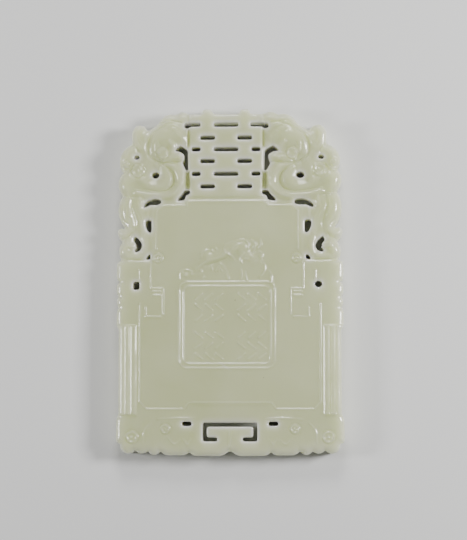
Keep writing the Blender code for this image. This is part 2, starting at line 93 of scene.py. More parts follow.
def bowed(path: Path, step: float, closed: bool = False) -> list[Point]:
    """Turns (x, y, bow) corners into points, where a bow becomes an arc.

    Args:
        path: The corners. An open path bows to the left of its walk, a closed one away from its middle.
        step: The largest angle between two points of an arc, in radians.
        closed: Whether the last corner joins the first.

    Returns:
        The points, without the first repeated at the end of a closed path.
    """
    corners = list(path) + ([path[0]] if closed else [])
    turning = sum(a[0] * b[1] - b[0] * a[1] for a, b in zip(corners, corners[1:]))
    outwards = -1 if closed and turning > 0 else 1
    points: list[Point] = []
    for (x0, y0, bow), (x1, y1, _) in zip(corners, corners[1:]):
        points.append((x0, y0))
        chord = math.hypot(x1 - x0, y1 - y0)
        if abs(bow) < 0.05 * chord:
            continue
        half_angle = 2 * math.atan2(2 * abs(bow), chord)
        radius = chord / (2 * math.sin(half_angle))
        count = max(2, math.ceil(2 * half_angle / step))
        along = ((x1 - x0) / chord, (y1 - y0) / chord)
        for number in range(1, count):
            turn = half_angle * (2 * number / count - 1)
            forward = chord / 2 + radius * math.sin(turn)
            out = outwards * math.copysign(radius * (math.cos(turn) - math.cos(half_angle)), bow)
            points.append((
                x0 + along[0] * forward - along[1] * out,
                y0 + along[1] * forward + along[0] * out,
            ))
    if not closed:
        points.append((corners[-1][0], corners[-1][1]))
    return points


def smooth(path: Path, count: int = 5) -> list[Place]:
    """Points on a smooth curve through the given places, count to each stretch."""
    padded = [path[0], *path, path[-1]]
    result: list[Place] = []
    for a, b, c, d in zip(padded, padded[1:], padded[2:], padded[3:]):
        for number in range(count):
            t = number / count
            result.append(tuple(
                0.5 * (
                    2 * q + (r - p) * t + (2 * p - 5 * q + 4 * r - s) * t**2
                    + (3 * q - p - 3 * r + s) * t**3
                )
                for p, q, r, s in zip(a, b, c, d)
            ))
    return result + [tuple(path[-1])]


def rectangle(left: float, bottom: float, right: float, top: float) -> list[Point]:
    """The corners of an upright rectangle, anticlockwise."""
    return [(left, bottom), (right, bottom), (right, top), (left, top)]


def rounded(left: float, bottom: float, right: float, top: float, corner: float, step: float) -> list[Point]:
    """An upright rectangle whose corners are arcs of a radius."""
    bow = corner * (1 - math.sqrt(0.5))
    path = (
        (left + corner, bottom, 0), (right - corner, bottom, bow), (right, bottom + corner, 0),
        (right, top - corner, bow), (right - corner, top, 0), (left + corner, top, bow),
        (left, top - corner, 0), (left, bottom + corner, bow),
    )
    return bowed(path, step, closed=True)


def softened(loop: Sequence[Point], cut: float, least_turn: float, steps: int = 4) -> list[Point]:
    """Rounds the corners of a loop in plan, as polishing does.

    Args:
        loop: The corners of the loop.
        cut: How far from a corner its rounding starts.
        least_turn: Corners that turn less than this angle, in radians, stay as they are.
        steps: The points that a rounded corner gets, less one.

    Returns:
        The points of the rounded loop.
    """
    points = np.array(loop)
    before = points - np.roll(points, 1, axis=0)
    after = np.roll(points, -1, axis=0) - points
    result: list[Point] = []
    for corner, came, goes in zip(points, before, after):
        length_in, length_out = np.hypot(*came), np.hypot(*goes)
        turn = abs(math.atan2(came[0] * goes[1] - came[1] * goes[0], came @ goes))
        if turn < least_turn:
            result.append(tuple(corner))
            continue
        reach = min(cut, 0.42 * length_in, 0.42 * length_out)
        start = corner - came / length_in * reach
        end = corner + goes / length_out * reach
        for number in range(steps + 1):
            t = number / steps
            result.append(tuple(start * (1 - t) ** 2 + 2 * corner * t * (1 - t) + end * t**2))
    return result


def divided(loop: Sequence[Point], spacing: float) -> np.ndarray:
    """The loop with points added so that none are further apart than the spacing."""
    points: list[np.ndarray] = []
    for start, end in zip(np.array(loop), np.roll(np.array(loop), -1, axis=0)):
        count = max(1, math.ceil(np.hypot(*(end - start)) / spacing))
        points += [start + (end - start) * number / count for number in range(count)]
    return np.array(points)


def eased(loop: Sequence[Point], spacing: float, passes: int) -> np.ndarray:
    """The loop walked in even steps, with its sharpest points worn round.

    Args:
        loop: The corners of the loop.
        spacing: About how far apart the new points are.
        passes: How often each point is drawn towards its neighbours.

    Returns:
        The points.
    """
    corners = np.array([*loop, loop[0]])
    walked = np.concatenate([[0.0], np.cumsum(np.hypot(*np.diff(corners, axis=0).T))])
    count = max(8, round(walked[-1] / spacing))
    at = np.arange(count) * walked[-1] / count
    points = np.stack([np.interp(at, walked, corners[:, axis]) for axis in (0, 1)], axis=1)
    for _ in range(passes):
        points = (np.roll(points, 1, axis=0) + 2 * points + np.roll(points, -1, axis=0)) / 4
    return points


def turned(loop: np.ndarray, anticlockwise: bool) -> np.ndarray:
    """The loop walked in the given direction."""
    x, y = loop.T
    area = np.sum(x * np.roll(y, -1) - y * np.roll(x, -1))
    return loop if (area > 0) == anticlockwise else loop[::-1]


def inward_normals(loop: np.ndarray) -> np.ndarray:
    """Unit vectors to the left of the walk at each point of a loop."""
    along = np.roll(loop, -1, axis=0) - np.roll(loop, 1, axis=0)
    along /= np.maximum(np.hypot(*along.T), 1e-9)[:, None]
    return np.stack([-along[:, 1], along[:, 0]], axis=1)


@dataclass
class Outline:
    """The edge of the plaque and the openings pierced through it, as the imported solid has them."""

    half_width: float
    half_height: float
    lattice_middle: float = -0.8
    lattice_half: float = 7.5
    lattice_crest: float = 34.0
    slot_rows: tuple[float, ...] = (31.85, 29.2, 26.85, 24.45, 21.85, 19.3)
    slot_height: float = 0.95
    long_slot_half: float = 2.55
    end_slot: Point = (5.1, 7.0)
    pair_slot: Point = (2.2, 5.3)
    knob_place: float = 3.8
    right_stretch: float = 1.105
    mane_lift: float = 0.85
    mane_lift_at: float = 18.6
    mane_lift_reach: float = 5.5
    arc_step: float = math.radians(9)
    corner_cut: float = 0.3
    least_turn: float = math.radians(24)
    flank_edge: Path = (
        (0.0, 34.0, 0.55), (2.7, 33.95, 0.75), (6.05, 32.4, -0.15), (8.45, 30.6, 0.5),
        (10.55, 31.8, 0.35), (11.6, 29.65, 0), (11.5, 27.95, 1.55), (13.4, 22.1, 0.95),
        (13.4, 17.45, 1.1), (13.1, 11.15, 0), (13.0, 10.7, 0), (13.9, 10.85, 0.2),
        (14.5, 9.95, 0.2), (13.4, 8.05, 0.7), (13.6, 4.4, 0), (14.4, 4.05, 0),
        (14.6, 3.6, 0), (14.6, 0.4, 0), (13.8, 0.0, 0), (14.6, -0.5, 0),
        (14.6, -2.45, 0), (14.1, -3.05, 0.5), (14.1, -5.25, 0), (14.6, -5.65, 0),
        (14.6, -8.8, 0), (14.15, -9.6, 0),
    )
    flank_openings: tuple[Path, ...] = (
        ((9.95, 25.3, 0.5), (11.25, 25.2, 0.5)),
        ((5.95, 21.6, 0.72), (7.6, 21.6, 0.72)),
        (
            (5.75, 16.6, 0.25), (7.9, 16.6, 0.2), (9.1, 15.7, 0.2), (9.0, 14.95, 0),
            (8.3, 15.3, 0), (7.7, 15.6, 0.1), (6.2, 15.6, 0.35),
        ),
        ((7.55, 12.5, 0), (7.55, 9.9, 0), (8.1, 9.9, 0.2), (8.8, 11.9, 0.1), (8.5, 12.6, 0)),
        (
            (10.9, 9.3, 0.15), (11.15, 8.1, 0), (10.6, 7.55, 0.25), (10.45, 6.9, 0.1),
            (11.1, 6.4, 0), (10.9, 6.0, 0.75), (9.7, 8.0, 0.1),
        ),
        ((7.75, 5.7, 0), (7.75, 4.5, 0), (8.85, 4.45, 0), (8.3, 5.4, 0)),
        (
            (3.0, 26.5, 0.1), (1.75, 27.7, 0), (0.25, 26.7, 0), (0.15, 22.5, 0),
            (0.55, 22.4, 0), (1.4, 24.1, -0.2), (1.0, 25.75, 0), (1.9, 26.4, 0),
        ),
        (
            (-0.25, 18.6, 0), (-0.25, 17.65, 0), (0.6, 17.55, 0), (0.8, 16.5, 0),
            (2.3, 16.35, 0.1), (2.1, 17.1, -0.15), (0.95, 18.6, 0),
        ),
    )
    corner_opening: tuple[Point, ...] = (
        (-2.4, 32.3), (-2.4, 31.4), (-0.3, 31.4), (0.3, 31.0), (1.15, 31.3), (0.9, 32.3),
    )
    left_shoulder_slot: Path = (
        (9.95, -0.05, 0), (9.95, -1.55, 0.1), (11.3, -1.55, 0), (11.3, -0.05, 0.1),
    )
    right_shoulder_hole: Path = ((9.35, -0.5, 0.7), (10.75, -0.5, 0.7))
    foot_slot: tuple[Point, ...] = ((9.7, -28.1), (9.7, -29.0), (7.7, -29.0), (7.7, -28.1))
    slot_half: float = 5.5
    slot_top: float = -28.3
    slot_foot: float = -32.1
    slot_bar: float = 0.85
    slot_toe: float = 3.0

    def on_flank(self, u: float, y: float, side: Side) -> Point:
        """The face place of a flank place."""
        if side is Side.LEFT:
            return self.lattice_middle - self.lattice_half - u, y
        return self.lattice_middle + self.lattice_half + u * self.right_stretch, y

    def lift(self, y: float) -> float:
        """How much higher the right mane stands than the left one at a height."""
        return self.mane_lift * math.exp(-(((y - self.mane_lift_at) / self.mane_lift_reach) ** 2))

    def foot_edge(self) -> Path:
        """The edge from the side band to the middle of the foot: plinth, four scallops, notch."""
        return (
            (22.45, -26.5, -0.1), (22.9, -27.6, 0), (self.half_width, -32.0, 0), (22.8, -32.4, 0),
            (22.05, -32.5, 0), (22.0, -33.55, 0.85), (19.1, -33.8, 0.6), (16.5, -34.0, 0.78),
            (14.05, -34.0, 0.15), (12.65, -34.85, 0), (9.4, -34.85, 0.15), (8.2, -34.15, 0.2),
            (6.8, -34.95, 0), (2.0, -self.half_height, 0), (1.1, -34.7, 0), (0.35, -34.1, 0),
        )

    def half_edge(self, side: Side) -> list[Point]:
        """The edge of one half, from the middle of the top to the middle of the foot."""
        crest, top = self.lattice_crest, self.half_height
        knob = ((-1.2, crest), (-0.75, top), (0.75, top), (1.2, crest))
        points = [(self.lattice_middle + side.value * (self.knob_place + x), y) for x, y in knob]
        for u, y in bowed(self.flank_edge, self.arc_step):
            x, _ = self.on_flank(u, y, side)
            points.append((x, y + self.lift(y) if side is Side.RIGHT else y))
        foot = bowed(self.foot_edge(), self.arc_step)
        return points + [(side.value * x, y) for x, y in foot]

    def edge(self) -> list[Point]:
        """The whole edge as one loop."""
        loop = self.half_edge(Side.LEFT) + self.half_edge(Side.RIGHT)[::-1]
        return softened(loop, self.corner_cut, self.least_turn)

    def lattice_slots(self) -> Iterator[list[Point]]:
        """Rows of three and of two slots by turns; the top row's end slots belong to the corners."""
        for row, y in enumerate(self.slot_rows):
            spans = [(-self.long_slot_half, self.long_slot_half)] if row % 2 == 0 else []
            near, far = self.end_slot if row % 2 == 0 else self.pair_slot
            if row > 0:
                spans += [(near, far), (-far, -near)]
            for start, end in spans:
                left, right = self.lattice_middle + start, self.lattice_middle + end
                yield rectangle(left, y - self.slot_height / 2, right, y + self.slot_height / 2)

    def centre_slot(self) -> list[Point]:
        """The slot at the foot: a bar with two legs, each with a toe that turns in."""
        half, top, foot = self.slot_half, self.slot_top, self.slot_foot
        bar, toe = self.slot_bar, self.slot_toe
        right = [
            (half, top), (half, foot), (half - toe, foot), (half - toe, foot + bar),
            (half - bar, foot + bar), (half - bar, top - bar),
        ]
        return right + [(-x, y) for x, y in right[::-1]]

    def openings(self) -> list[list[Point]]:
        """Every opening as a loop, its corners a little rounded."""
        loops = [*self.lattice_slots(), self.centre_slot()]
        for side in Side:
            for path in self.flank_openings:
                loops.append([self.on_flank(u, y, side) for u, y in bowed(path, self.arc_step, closed=True)])
            loops.append([self.on_flank(u, y, side) for u, y in self.corner_opening])
            loops.append([(side.value * x, y) for x, y in self.foot_slot])
        shoulder = bowed(self.left_shoulder_slot, self.arc_step, closed=True)
        loops.append([self.on_flank(u, y, Side.LEFT) for u, y in shoulder])
        hole = bowed(self.right_shoulder_hole, self.arc_step, closed=True)
        loops.append([self.on_flank(u, y, Side.RIGHT) for u, y in hole])
        return [softened(loop, self.corner_cut, self.least_turn) for loop in loops]


@dataclass
class Near:
    """The cells of a relief near a path: how near each is and how wide the path is there."""

    rows: slice
    cols: slice
    ratio: np.ndarray
    size: np.ndarray


class Relief:
    """A height field over the face of the plaque, in millimetres above the plane that it lies on."""

    def __init__(self, half_width: float, half_height: float, step: float, level: float) -> None:
        """Starts as a flat face.

        Args:
            half_width: Half the width of the field.
            half_height: Half its height.
            step: The side of a cell.
            level: The level of the flat face.
        """
        self.step = step
        self.xs = np.arange(-half_width - step, half_width + 2 * step, step)
        self.ys = np.arange(-half_height - step, half_height + 2 * step, step)
        self.height = np.full((len(self.ys), len(self.xs)), level)

    def window(self, left: float, right: float, bottom: float, top: float) -> tuple[slice, slice]:
        """The rows and columns that cover a rectangle."""
        cols = np.clip(np.searchsorted(self.xs, (left, right)), 0, len(self.xs))
        rows = np.clip(np.searchsorted(self.ys, (bottom, top)), 0, len(self.ys))
        return slice(*rows), slice(*cols)

    def near(self, path: Path, left: float = 1.0, right: float = 1.0) -> Near:
        """Measures the cells around a path.

        Args:
            path: Places with half widths.
            left: What the half width is multiplied by on the left of the walk.
            right: The same for the right.

        Returns:
            The window, each cell's least distance divided by the half width, and that half width.
        """
        places = np.array(path)
        widest = places[:, 2].max() * max(left, right)
        low, high = places[:, :2].min(axis=0) - widest, places[:, :2].max(axis=0) + widest
        rows, cols = self.window(low[0], high[0], low[1], high[1])
        shape = (rows.stop - rows.start, cols.stop - cols.start)
        ratio, size = np.full(shape, 9.0), np.zeros(shape)
        for (x0, y0, w0), (x1, y1, w1) in zip(path, path[1:]):
            length = (x1 - x0) ** 2 + (y1 - y0) ** 2
            if length < 1e-12:
                continue
            reach = max(w0, w1) * max(left, right)
            some_rows, some_cols = self.window(
                min(x0, x1) - reach, max(x0, x1) + reach, min(y0, y1) - reach, max(y0, y1) + reach
            )
            here = (
                slice(some_rows.start - rows.start, some_rows.stop - rows.start),
                slice(some_cols.start - cols.start, some_cols.stop - cols.start),
            )
            dx, dy = self.xs[None, some_cols] - x0, self.ys[some_rows, None] - y0
            share = np.clip((dx * (x1 - x0) + dy * (y1 - y0)) / length, 0, 1)
            width = w0 + share * (w1 - w0)
            on_left = (x1 - x0) * dy - (y1 - y0) * dx > 0
            spread = np.maximum(width, 1e-3) * np.where(on_left, left, right)
            found = np.hypot(dx - share * (x1 - x0), dy - share * (y1 - y0)) / spread
            better = found < ratio[here]
            ratio[here] = np.where(better, found, ratio[here])
            size[here] = np.where(better, width, size[here])
        return Near(rows, cols, ratio, size)

    def inside(self, loop: Sequence[Point]) -> np.ndarray:
        """Which cells lie inside a loop."""
        toggles = np.zeros((len(self.ys), len(self.xs) + 1), np.int32)
        for (x0, y0), (x1, y1) in zip(loop, [*loop[1:], loop[0]]):
            low, high = np.searchsorted(self.ys, sorted((y0, y1)))
            if low == high:
                continue
            crossings = x0 + (self.ys[low:high] - y0) * (x1 - x0) / (y1 - y0)
            np.add.at(toggles, (np.arange(low, high), np.searchsorted(self.xs, crossings)), 1)
        return np.cumsum(toggles, axis=1)[:, :-1] % 2 == 1

    def distance(self, loops: Sequence[Sequence[Point]], reach: float) -> np.ndarray:
        """The distance of each cell from the nearest of some loops, at most the reach."""
        result = np.full(self.height.shape, reach)
        for loop in loops:
            near = self.near([(x, y, reach) for x, y in [*loop, loop[0]]])
            part = result[near.rows, near.cols]
            result[near.rows, near.cols] = np.minimum(part, near.ratio * reach)
        return result

    def plateau(self, loop: Sequence[Point], level: float, slope: float) -> None:
        """Brings the inside of a loop to a level, over a slope of a given width."""
        distance = self.distance([loop], slope)
        signed = np.where(self.inside(loop), distance, -distance)
        share = 0.5 + signed / (2 * slope)
        weight = share * share * (3 - 2 * share)
        self.height = self.height * (1 - weight) + level * weight

    def ridge(self, path: Path, rise: float) -> None:
        """Adds a low ridge along a path, lower where it is narrower."""
        near = self.near(path)
        widest = max(place[2] for place in path)
        section = np.clip(1 - near.ratio**2, 0, 1) ** 2
        self.height[near.rows, near.cols] += rise * near.size / widest * section

    def cut(self, path: Path, depth: float, left: float = 1.0, right: float = 1.0) -> None:
        """Cuts a groove along a path, shallower where it is narrower.

        Args:
            path: Places with half widths.
            depth: The depth where it is widest.
            left: What the half width is multiplied by on the left of the walk.
            right: The same for the right.
        """
        near = self.near(path, left, right)
        widest = max(place[2] for place in path)
        section = np.clip(1 - near.ratio, 0, 1) ** 2
        self.height[near.rows, near.cols] -= depth * near.size / widest * section

    def ring(self, x: float, y: float, radius: float, half: float, rise: float, sides: int = 24) -> None:
        """Adds a round ridge, or cuts a round groove where the rise is negative."""
        angles = [2 * math.pi * number / sides for number in range(sides + 1)]
        path = [(x + radius * math.cos(a), y + radius * math.sin(a), half) for a in angles]
        if rise > 0:
            self.ridge(path, rise)
        else:
            self.cut(path, -rise)

    def bead(self, x: float, y: float, radius: float, rise: float) -> None:
        """Adds a round bead."""
        self.ridge([(x - 0.01, y, radius), (x + 0.01, y, radius)], rise)

    def polish(self, reach: float) -> None:
        """Rounds every small edge and hollow by about the reach."""
        cells = reach / self.step
        half = math.ceil(2.5 * cells)
        weights = np.exp(-0.5 * (np.arange(-half, half + 1) / cells) ** 2)
        weights /= weights.sum()
        for axis in (0, 1):
            widths = [(half, half) if axis == number else (0, 0) for number in (0, 1)]
            padded = np.pad(self.height, widths, mode="edge")
            length = self.height.shape[axis]
            parts = (np.take(padded, range(start, start + length), axis) for start in range(2 * half + 1))
            self.height = sum(weight * part for weight, part in zip(weights, parts))

    def sample(self, field: np.ndarray, points: np.ndarray) -> np.ndarray:
        """The value of a field over the face at each of some points."""
        col = np.clip((points[:, 0] - self.xs[0]) / self.step, 0, len(self.xs) - 1.001)
        row = np.clip((points[:, 1] - self.ys[0]) / self.step, 0, len(self.ys) - 1.001)
        c, r = col.astype(int), row.astype(int)
        fc, fr = col - c, row - r
        upper = field[r + 1, c] * (1 - fc) + field[r + 1, c + 1] * fc
        return (field[r, c] * (1 - fc) + field[r, c + 1] * fc) * (1 - fr) + upper * fr


@dataclass
class Ground:
    """The broad levels of the face and the slight unevenness that hand work leaves on them."""

    outline: Outline
    flank_top: float = 5.3
    field_top: float = 5.4
    lattice_top: float = 5.6
    band_top: float = 5.75
    panel_middle: float = -0.6
    panel_half: float = 15.3
    step_half: float = 8.6
    panel_head: float = 17.0
    panel_shoulder: float = 16.2
    shoulder: float = 4.1
    band_inner: float = 18.9
    band_top_y: float = -8.8
    band_foot_y: float = -26.8
    slope: float = 0.16
    channel_slope: float = 0.28
    channels: tuple[tuple[float, ...], ...] = (
        (-0.1, 0.62, 18.8, 22.3, 4.1), (-0.12, 0.22, 27.3, 30.9, 4.6),
    )
    wave_height: float = 0.012
    wave_base: float = 10.0
    waves: int = 3
    wave_lengths: tuple[float, ...] = (5.3, 7.9, 11.7)
    seed: int = 7

    def carve(self, relief: Relief) -> None:
        """Lays out the levels."""
        out_x, out_y = self.outline.half_width + 2, self.outline.half_height + 2
        left, right = self.panel_middle - self.panel_half, self.panel_middle + self.panel_half
        step_left, step_right = self.panel_middle - self.step_half, self.panel_middle + self.step_half
        panel = [
            (-out_x, -out_y), (out_x, -out_y), (out_x, self.shoulder), (right, self.shoulder),
            (right, self.panel_shoulder), (step_right, self.panel_shoulder), (step_right, self.panel_head),
            (step_left, self.panel_head), (step_left, self.panel_shoulder), (left, self.panel_shoulder),
            (left, self.shoulder), (-out_x, self.shoulder),
        ]
        relief.plateau(panel, self.field_top, self.slope)
        middle, half = self.outline.lattice_middle, self.outline.lattice_half
        lattice = rectangle(middle - half, self.panel_head + 0.15, middle + half, out_y)
        relief.plateau(lattice, self.lattice_top, self.slope)
        for side in Side:
            near, far = sorted((side.value * self.band_inner, side.value * out_x))
            relief.plateau(rectangle(near, self.band_foot_y, far, self.band_top_y), self.band_top, 0.3)

    def channel(self, relief: Relief) -> None:
        """Cuts the channels between the lattice and each dragon."""
        for side in Side:
            for near, far, low, high, floor in self.channels:
                corners = rectangle(near, low, far, high)
                loop = [self.outline.on_flank(u, y, side) for u, y in corners]
                relief.plateau(loop, floor, self.channel_slope)

    def wave(self, relief: Relief) -> None:
        """Adds the slight unevenness of a face that was ground and polished by hand."""
        random = np.random.default_rng(self.seed)
        for length in self.wave_lengths:
            for _ in range(self.waves):
                angle, phase = random.uniform(0, 2 * math.pi, 2)
                across = (
                    relief.xs[None, :] * math.cos(angle) + relief.ys[:, None] * math.sin(angle)
                ) / length
                high = self.wave_height * length / self.wave_base
                relief.height += high * np.sin(2 * math.pi * across + phase)


@dataclass
class LargeDragon:
    """One of the two dragons on the flanks: its body, mane and curls.

    The forms are broad swells, the lines between them grooves whose two sides differ in width, so
    that one form seems to lie over the next.
    """

    outline: Outline
    side: Side
    # In order: crest, mane rim, ear, upper lobe, disc, lower lobe, neck, coil, three strands, the strip
    # beside the panel, hook leaf, claw and spur, stem and root, skull, snout, eye, nose curl, jaw.
    swells: tuple[tuple[float, Path], ...] = (
        (0.35, ((-0.3, 33.4, 0.9), (1.3, 33.45, 1.1), (2.7, 33.1, 0.9), (4.5, 33.1, 1.2), (6.0, 32.1, 0.8))),
        (0.25, ((6.4, 31.5, 0.6), (7.6, 30.7, 0.9), (8.7, 29.4, 1.1), (9.0, 27.6, 1.1), (8.3, 25.6, 0.9),
                (7.3, 24.7, 0.7))),
        (0.4, ((9.9, 31.5, 0.8), (10.8, 30.2, 1.4), (10.8, 28.6, 1.6), (9.9, 27.2, 1.2))),
        (0.4, ((11.3, 27.2, 1.2), (12.5, 26.0, 1.7), (12.9, 24.3, 1.5))),
        (0.3, ((8.0, 24.6, 1.2), (8.7, 23.2, 1.7), (9.2, 21.4, 1.9))),
        (0.45, ((10.6, 21.2, 1.5), (12.4, 20.3, 2.1), (12.7, 19.0, 1.8))),
        (0.65, ((4.9, 24.1, 0.9), (3.1, 23.3, 1.3), (2.0, 21.7, 1.5), (1.75, 19.8, 1.55), (2.8, 18.1, 1.5),
                (5.2, 17.5, 1.3), (8.2, 17.6, 1.1), (10.6, 18.0, 0.9))),
        (0.45, ((6.3, 23.8, 1.0), (4.9, 22.8, 1.5), (4.5, 20.9, 1.7), (5.6, 19.4, 1.5), (7.6, 19.3, 1.3),
                (9.4, 20.3, 1.2))),
        (0.4, ((12.3, 16.9, 1.2), (12.6, 15.2, 1.8), (12.4, 13.4, 1.7), (12.0, 11.6, 1.2))),
        (0.35, ((10.4, 16.4, 1.2), (10.4, 14.6, 1.5), (9.6, 12.4, 1.4), (9.2, 10.4, 1.1))),
        (0.35, ((9.9, 16.8, 0.6), (9.7, 16.2, 0.8), (9.8, 15.4, 0.6))),
        (0.2, ((8.3, 15.0, 0.4), (8.3, 13.2, 0.5))),
        (0.35, ((12.1, 10.4, 0.9), (13.3, 9.6, 1.2), (14.1, 10.1, 0.8))),
        (0.4, ((12.0, 8.6, 0.9), (12.7, 7.2, 1.4), (13.2, 5.9, 1.3))),
        (0.3, ((12.1, 7.3, 0.8), (11.2, 7.2, 0.7), (10.5, 7.2, 0.5))),
        (0.25, ((9.2, 9.5, 0.7), (8.9, 7.5, 0.9), (9.1, 5.9, 0.8))),
        (0.2, ((9.8, 5.2, 0.7), (12.2, 5.0, 0.8))),
        (0.6, ((6.6, 26.9, 1.6), (6.5, 28.6, 2.2), (5.0, 29.5, 2.8), (3.2, 29.8, 2.4), (1.8, 29.3, 1.6))),
        (0.2, ((3.4, 31.0, 0.9), (2.2, 30.4, 1.1), (1.4, 29.2, 1.0), (1.0, 27.9, 0.7))),
        (0.3, ((5.3, 26.1, 1.9), (5.2, 26.0, 1.9))),
        (0.5, ((3.9, 28.3, 0.7), (3.35, 27.7, 1.0), (3.1, 27.2, 0.9))),
        (0.5, ((2.5, 25.2, 0.9), (1.85, 25.25, 1.2), (1.6, 25.1, 1.0))),
        (0.55, ((5.6, 25.0, 0.8), (4.2, 25.1, 1.1), (2.7, 25.35, 1.1), (1.5, 25.65, 0.8))),
    )
    # Each with its depth and how much wider its left and right sides are. In order: behind the crest,
    # round the head, inside the neck, the disc, between the lobes, then the fine lines.
    cuts: tuple[tuple[float, float, float, Path], ...] = (
        (0.35, 1.6, 0.8, ((0.9, 31.8, 0.2), (1.8, 32.25, 0.3), (2.9, 32.5, 0.4), (4.1, 32.7, 0.4),
                          (5.2, 32.4, 0.4), (6.2, 31.8, 0.3), (7.0, 31.3, 0.2))),
        (0.5, 1.7, 0.8, ((4.7, 31.8, 0.15), (5.7, 31.3, 0.3), (6.8, 30.6, 0.4), (7.75, 29.5, 0.45),
                         (8.35, 27.7, 0.5), (8.15, 25.9, 0.5), (7.35, 25.0, 0.45), (6.5, 24.45, 0.45),
                         (5.7, 24.1, 0.45), (4.2, 24.1, 0.4), (2.5, 24.3, 0.3), (1.3, 24.5, 0.2))),
        (0.45, 0.8, 1.7, ((5.7, 24.0, 0.2), (4.9, 23.5, 0.35), (4.2, 22.9, 0.4), (3.35, 21.8, 0.45),
                          (3.05, 20.4, 0.45), (3.4, 19.4, 0.4), (4.3, 18.65, 0.4), (5.6, 18.3, 0.35),
                          (7.6, 18.45, 0.3), (9.4, 18.7, 0.25), (10.9, 18.8, 0.15))),
        (0.25, 1.0, 1.0, ((6.6, 24.4, 0.15), (6.0, 23.7, 0.35), (6.0, 22.8, 0.4), (6.25, 22.1, 0.3))),
        (0.35, 1.0, 1.0, ((11.8, 28.0, 0.5), (10.9, 27.3, 0.45), (10.5, 26.5, 0.35), (10.5, 25.9, 0.3))),
        (0.35, 1.0, 1.0, ((13.7, 22.1, 0.5), (12.5, 22.1, 0.4), (11.8, 22.7, 0.4), (11.3, 23.7, 0.3))),
        (0.35, 1.0, 1.0, ((13.7, 17.4, 0.5), (12.6, 17.3, 0.4), (11.4, 17.2, 0.3), (10.2, 17.0, 0.2))),
        (0.16, 1.0, 1.0, ((11.6, 27.4, 0.15), (12.2, 26.3, 0.3), (12.3, 25.2, 0.2))),
        (0.16, 1.0, 1.0, ((12.7, 27.2, 0.15), (13.1, 26.1, 0.3), (13.2, 25.0, 0.2))),
        (0.2, 1.0, 1.0, ((11.5, 16.9, 0.2), (11.6, 15.2, 0.35), (11.2, 13.4, 0.35), (10.8, 11.6, 0.35),
                         (11.0, 10.2, 0.25))),
        (0.18, 1.0, 1.0, ((12.5, 16.6, 0.2), (12.7, 15.0, 0.3), (12.4, 13.3, 0.3), (12.0, 12.0, 0.2))),
        (0.18, 1.0, 1.0, ((10.5, 16.1, 0.2), (10.6, 14.8, 0.3), (9.9, 13.2, 0.3), (9.4, 11.9, 0.2))),
        (0.2, 1.0, 1.0, ((13.6, 12.9, 0.2), (12.9, 12.1, 0.35), (12.2, 11.5, 0.2))),
        (0.2, 1.0, 1.0, ((13.4, 8.5, 0.3), (12.7, 8.7, 0.35), (12.0, 9.3, 0.3), (11.6, 10.0, 0.2))),
        (0.2, 1.0, 1.0, ((9.9, 31.0, 0.15), (10.4, 30.0, 0.3), (10.4, 28.7, 0.35), (9.8, 27.6, 0.25))),
        (0.2, 1.0, 1.0, ((6.9, 28.8, 0.15), (7.1, 27.6, 0.3), (6.95, 26.4, 0.3), (6.5, 25.5, 0.2))),
        (0.15, 1.0, 1.0, ((6.0, 28.2, 0.15), (6.35, 27.4, 0.25), (6.35, 26.6, 0.2))),
        (0.12, 1.0, 1.0, ((4.2, 30.7, 0.15), (3.3, 30.45, 0.28), (2.5, 30.7, 0.15))),
        (0.15, 1.0, 1.0, ((2.4, 30.2, 0.15), (1.75, 29.6, 0.28), (1.6, 28.5, 0.25), (1.4, 27.7, 0.15))),
        (0.25, 1.0, 1.0, ((14.6, 4.6, 0.3), (12.5, 4.5, 0.3), (10.0, 4.45, 0.3), (8.9, 4.5, 0.2))),
    )
    ridges: tuple[tuple[float, Path], ...] = (
        (0.16, ((7.3, 28.9, 0.15), (7.6, 27.7, 0.28), (7.6, 26.6, 0.3), (7.45, 25.8, 0.35))),
        (0.15, ((4.2, 31.1, 0.3), (3.3, 31.35, 0.5), (2.4, 31.1, 0.3))),
        (0.35, ((1.05, 22.6, 0.3), (0.95, 21.2, 0.5), (1.35, 19.8, 0.7), (2.3, 18.4, 0.7), (3.7, 17.4, 0.4),
                (5.2, 17.0, 0.3))),
        (0.2, ((4.5, 18.9, 0.2), (3.95, 19.7, 0.35), (3.75, 20.8, 0.35), (4.1, 22.0, 0.2))),
        (0.2, ((2.3, 25.9, 0.35), (1.9, 25.4, 0.5), (1.7, 24.9, 0.3))),
        (0.12, ((9.3, 8.9, 0.3), (9.0, 7.0, 0.4), (9.2, 5.7, 0.3))),
        (0.12, ((11.4, 30.4, 0.25), (11.6, 29.2, 0.35), (11.3, 28.2, 0.3))),
        (0.12, ((12.0, 16.7, 0.15), (12.1, 15.0, 0.25), (11.8, 13.2, 0.25))),
    )
    # Round the eye, the spiral, the small curl and the claw: u, y, radius, half width, rise.
    rings: tuple[tuple[float, ...], ...] = (
        (5.27, 26.0, 1.35, 0.3, -0.25), (5.27, 26.0, 0.95, 0.3, 0.15),
        (10.35, 22.4, 1.5, 0.35, -0.22), (10.35, 22.4, 1.05, 0.32, 0.15),
        (12.85, 23.75, 0.85, 0.28, -0.18), (12.85, 23.75, 0.5, 0.24, 0.12),
        (11.6, 7.1, 0.7, 0.22, -0.15),
    )
    # Two in the eye, one in the spiral, two over it and one in the claw: u, y, shift, radius, rise.
    beads: tuple[tuple[float, ...], ...] = (
        (5.27, 26.0, -0.62, 0.4, 0.2), (5.27, 26.0, 0.62, 0.4, 0.2), (10.35, 22.4, 0.0, 0.5, 0.2),
        (10.97, 23.7, 0.0, 0.45, 0.15), (9.35, 23.6, 0.0, 0.45, 0.15), (11.6, 7.1, 0.0, 0.35, 0.1),
    )
    lift_from: float = 8.5
    lift_run: float = 5.0

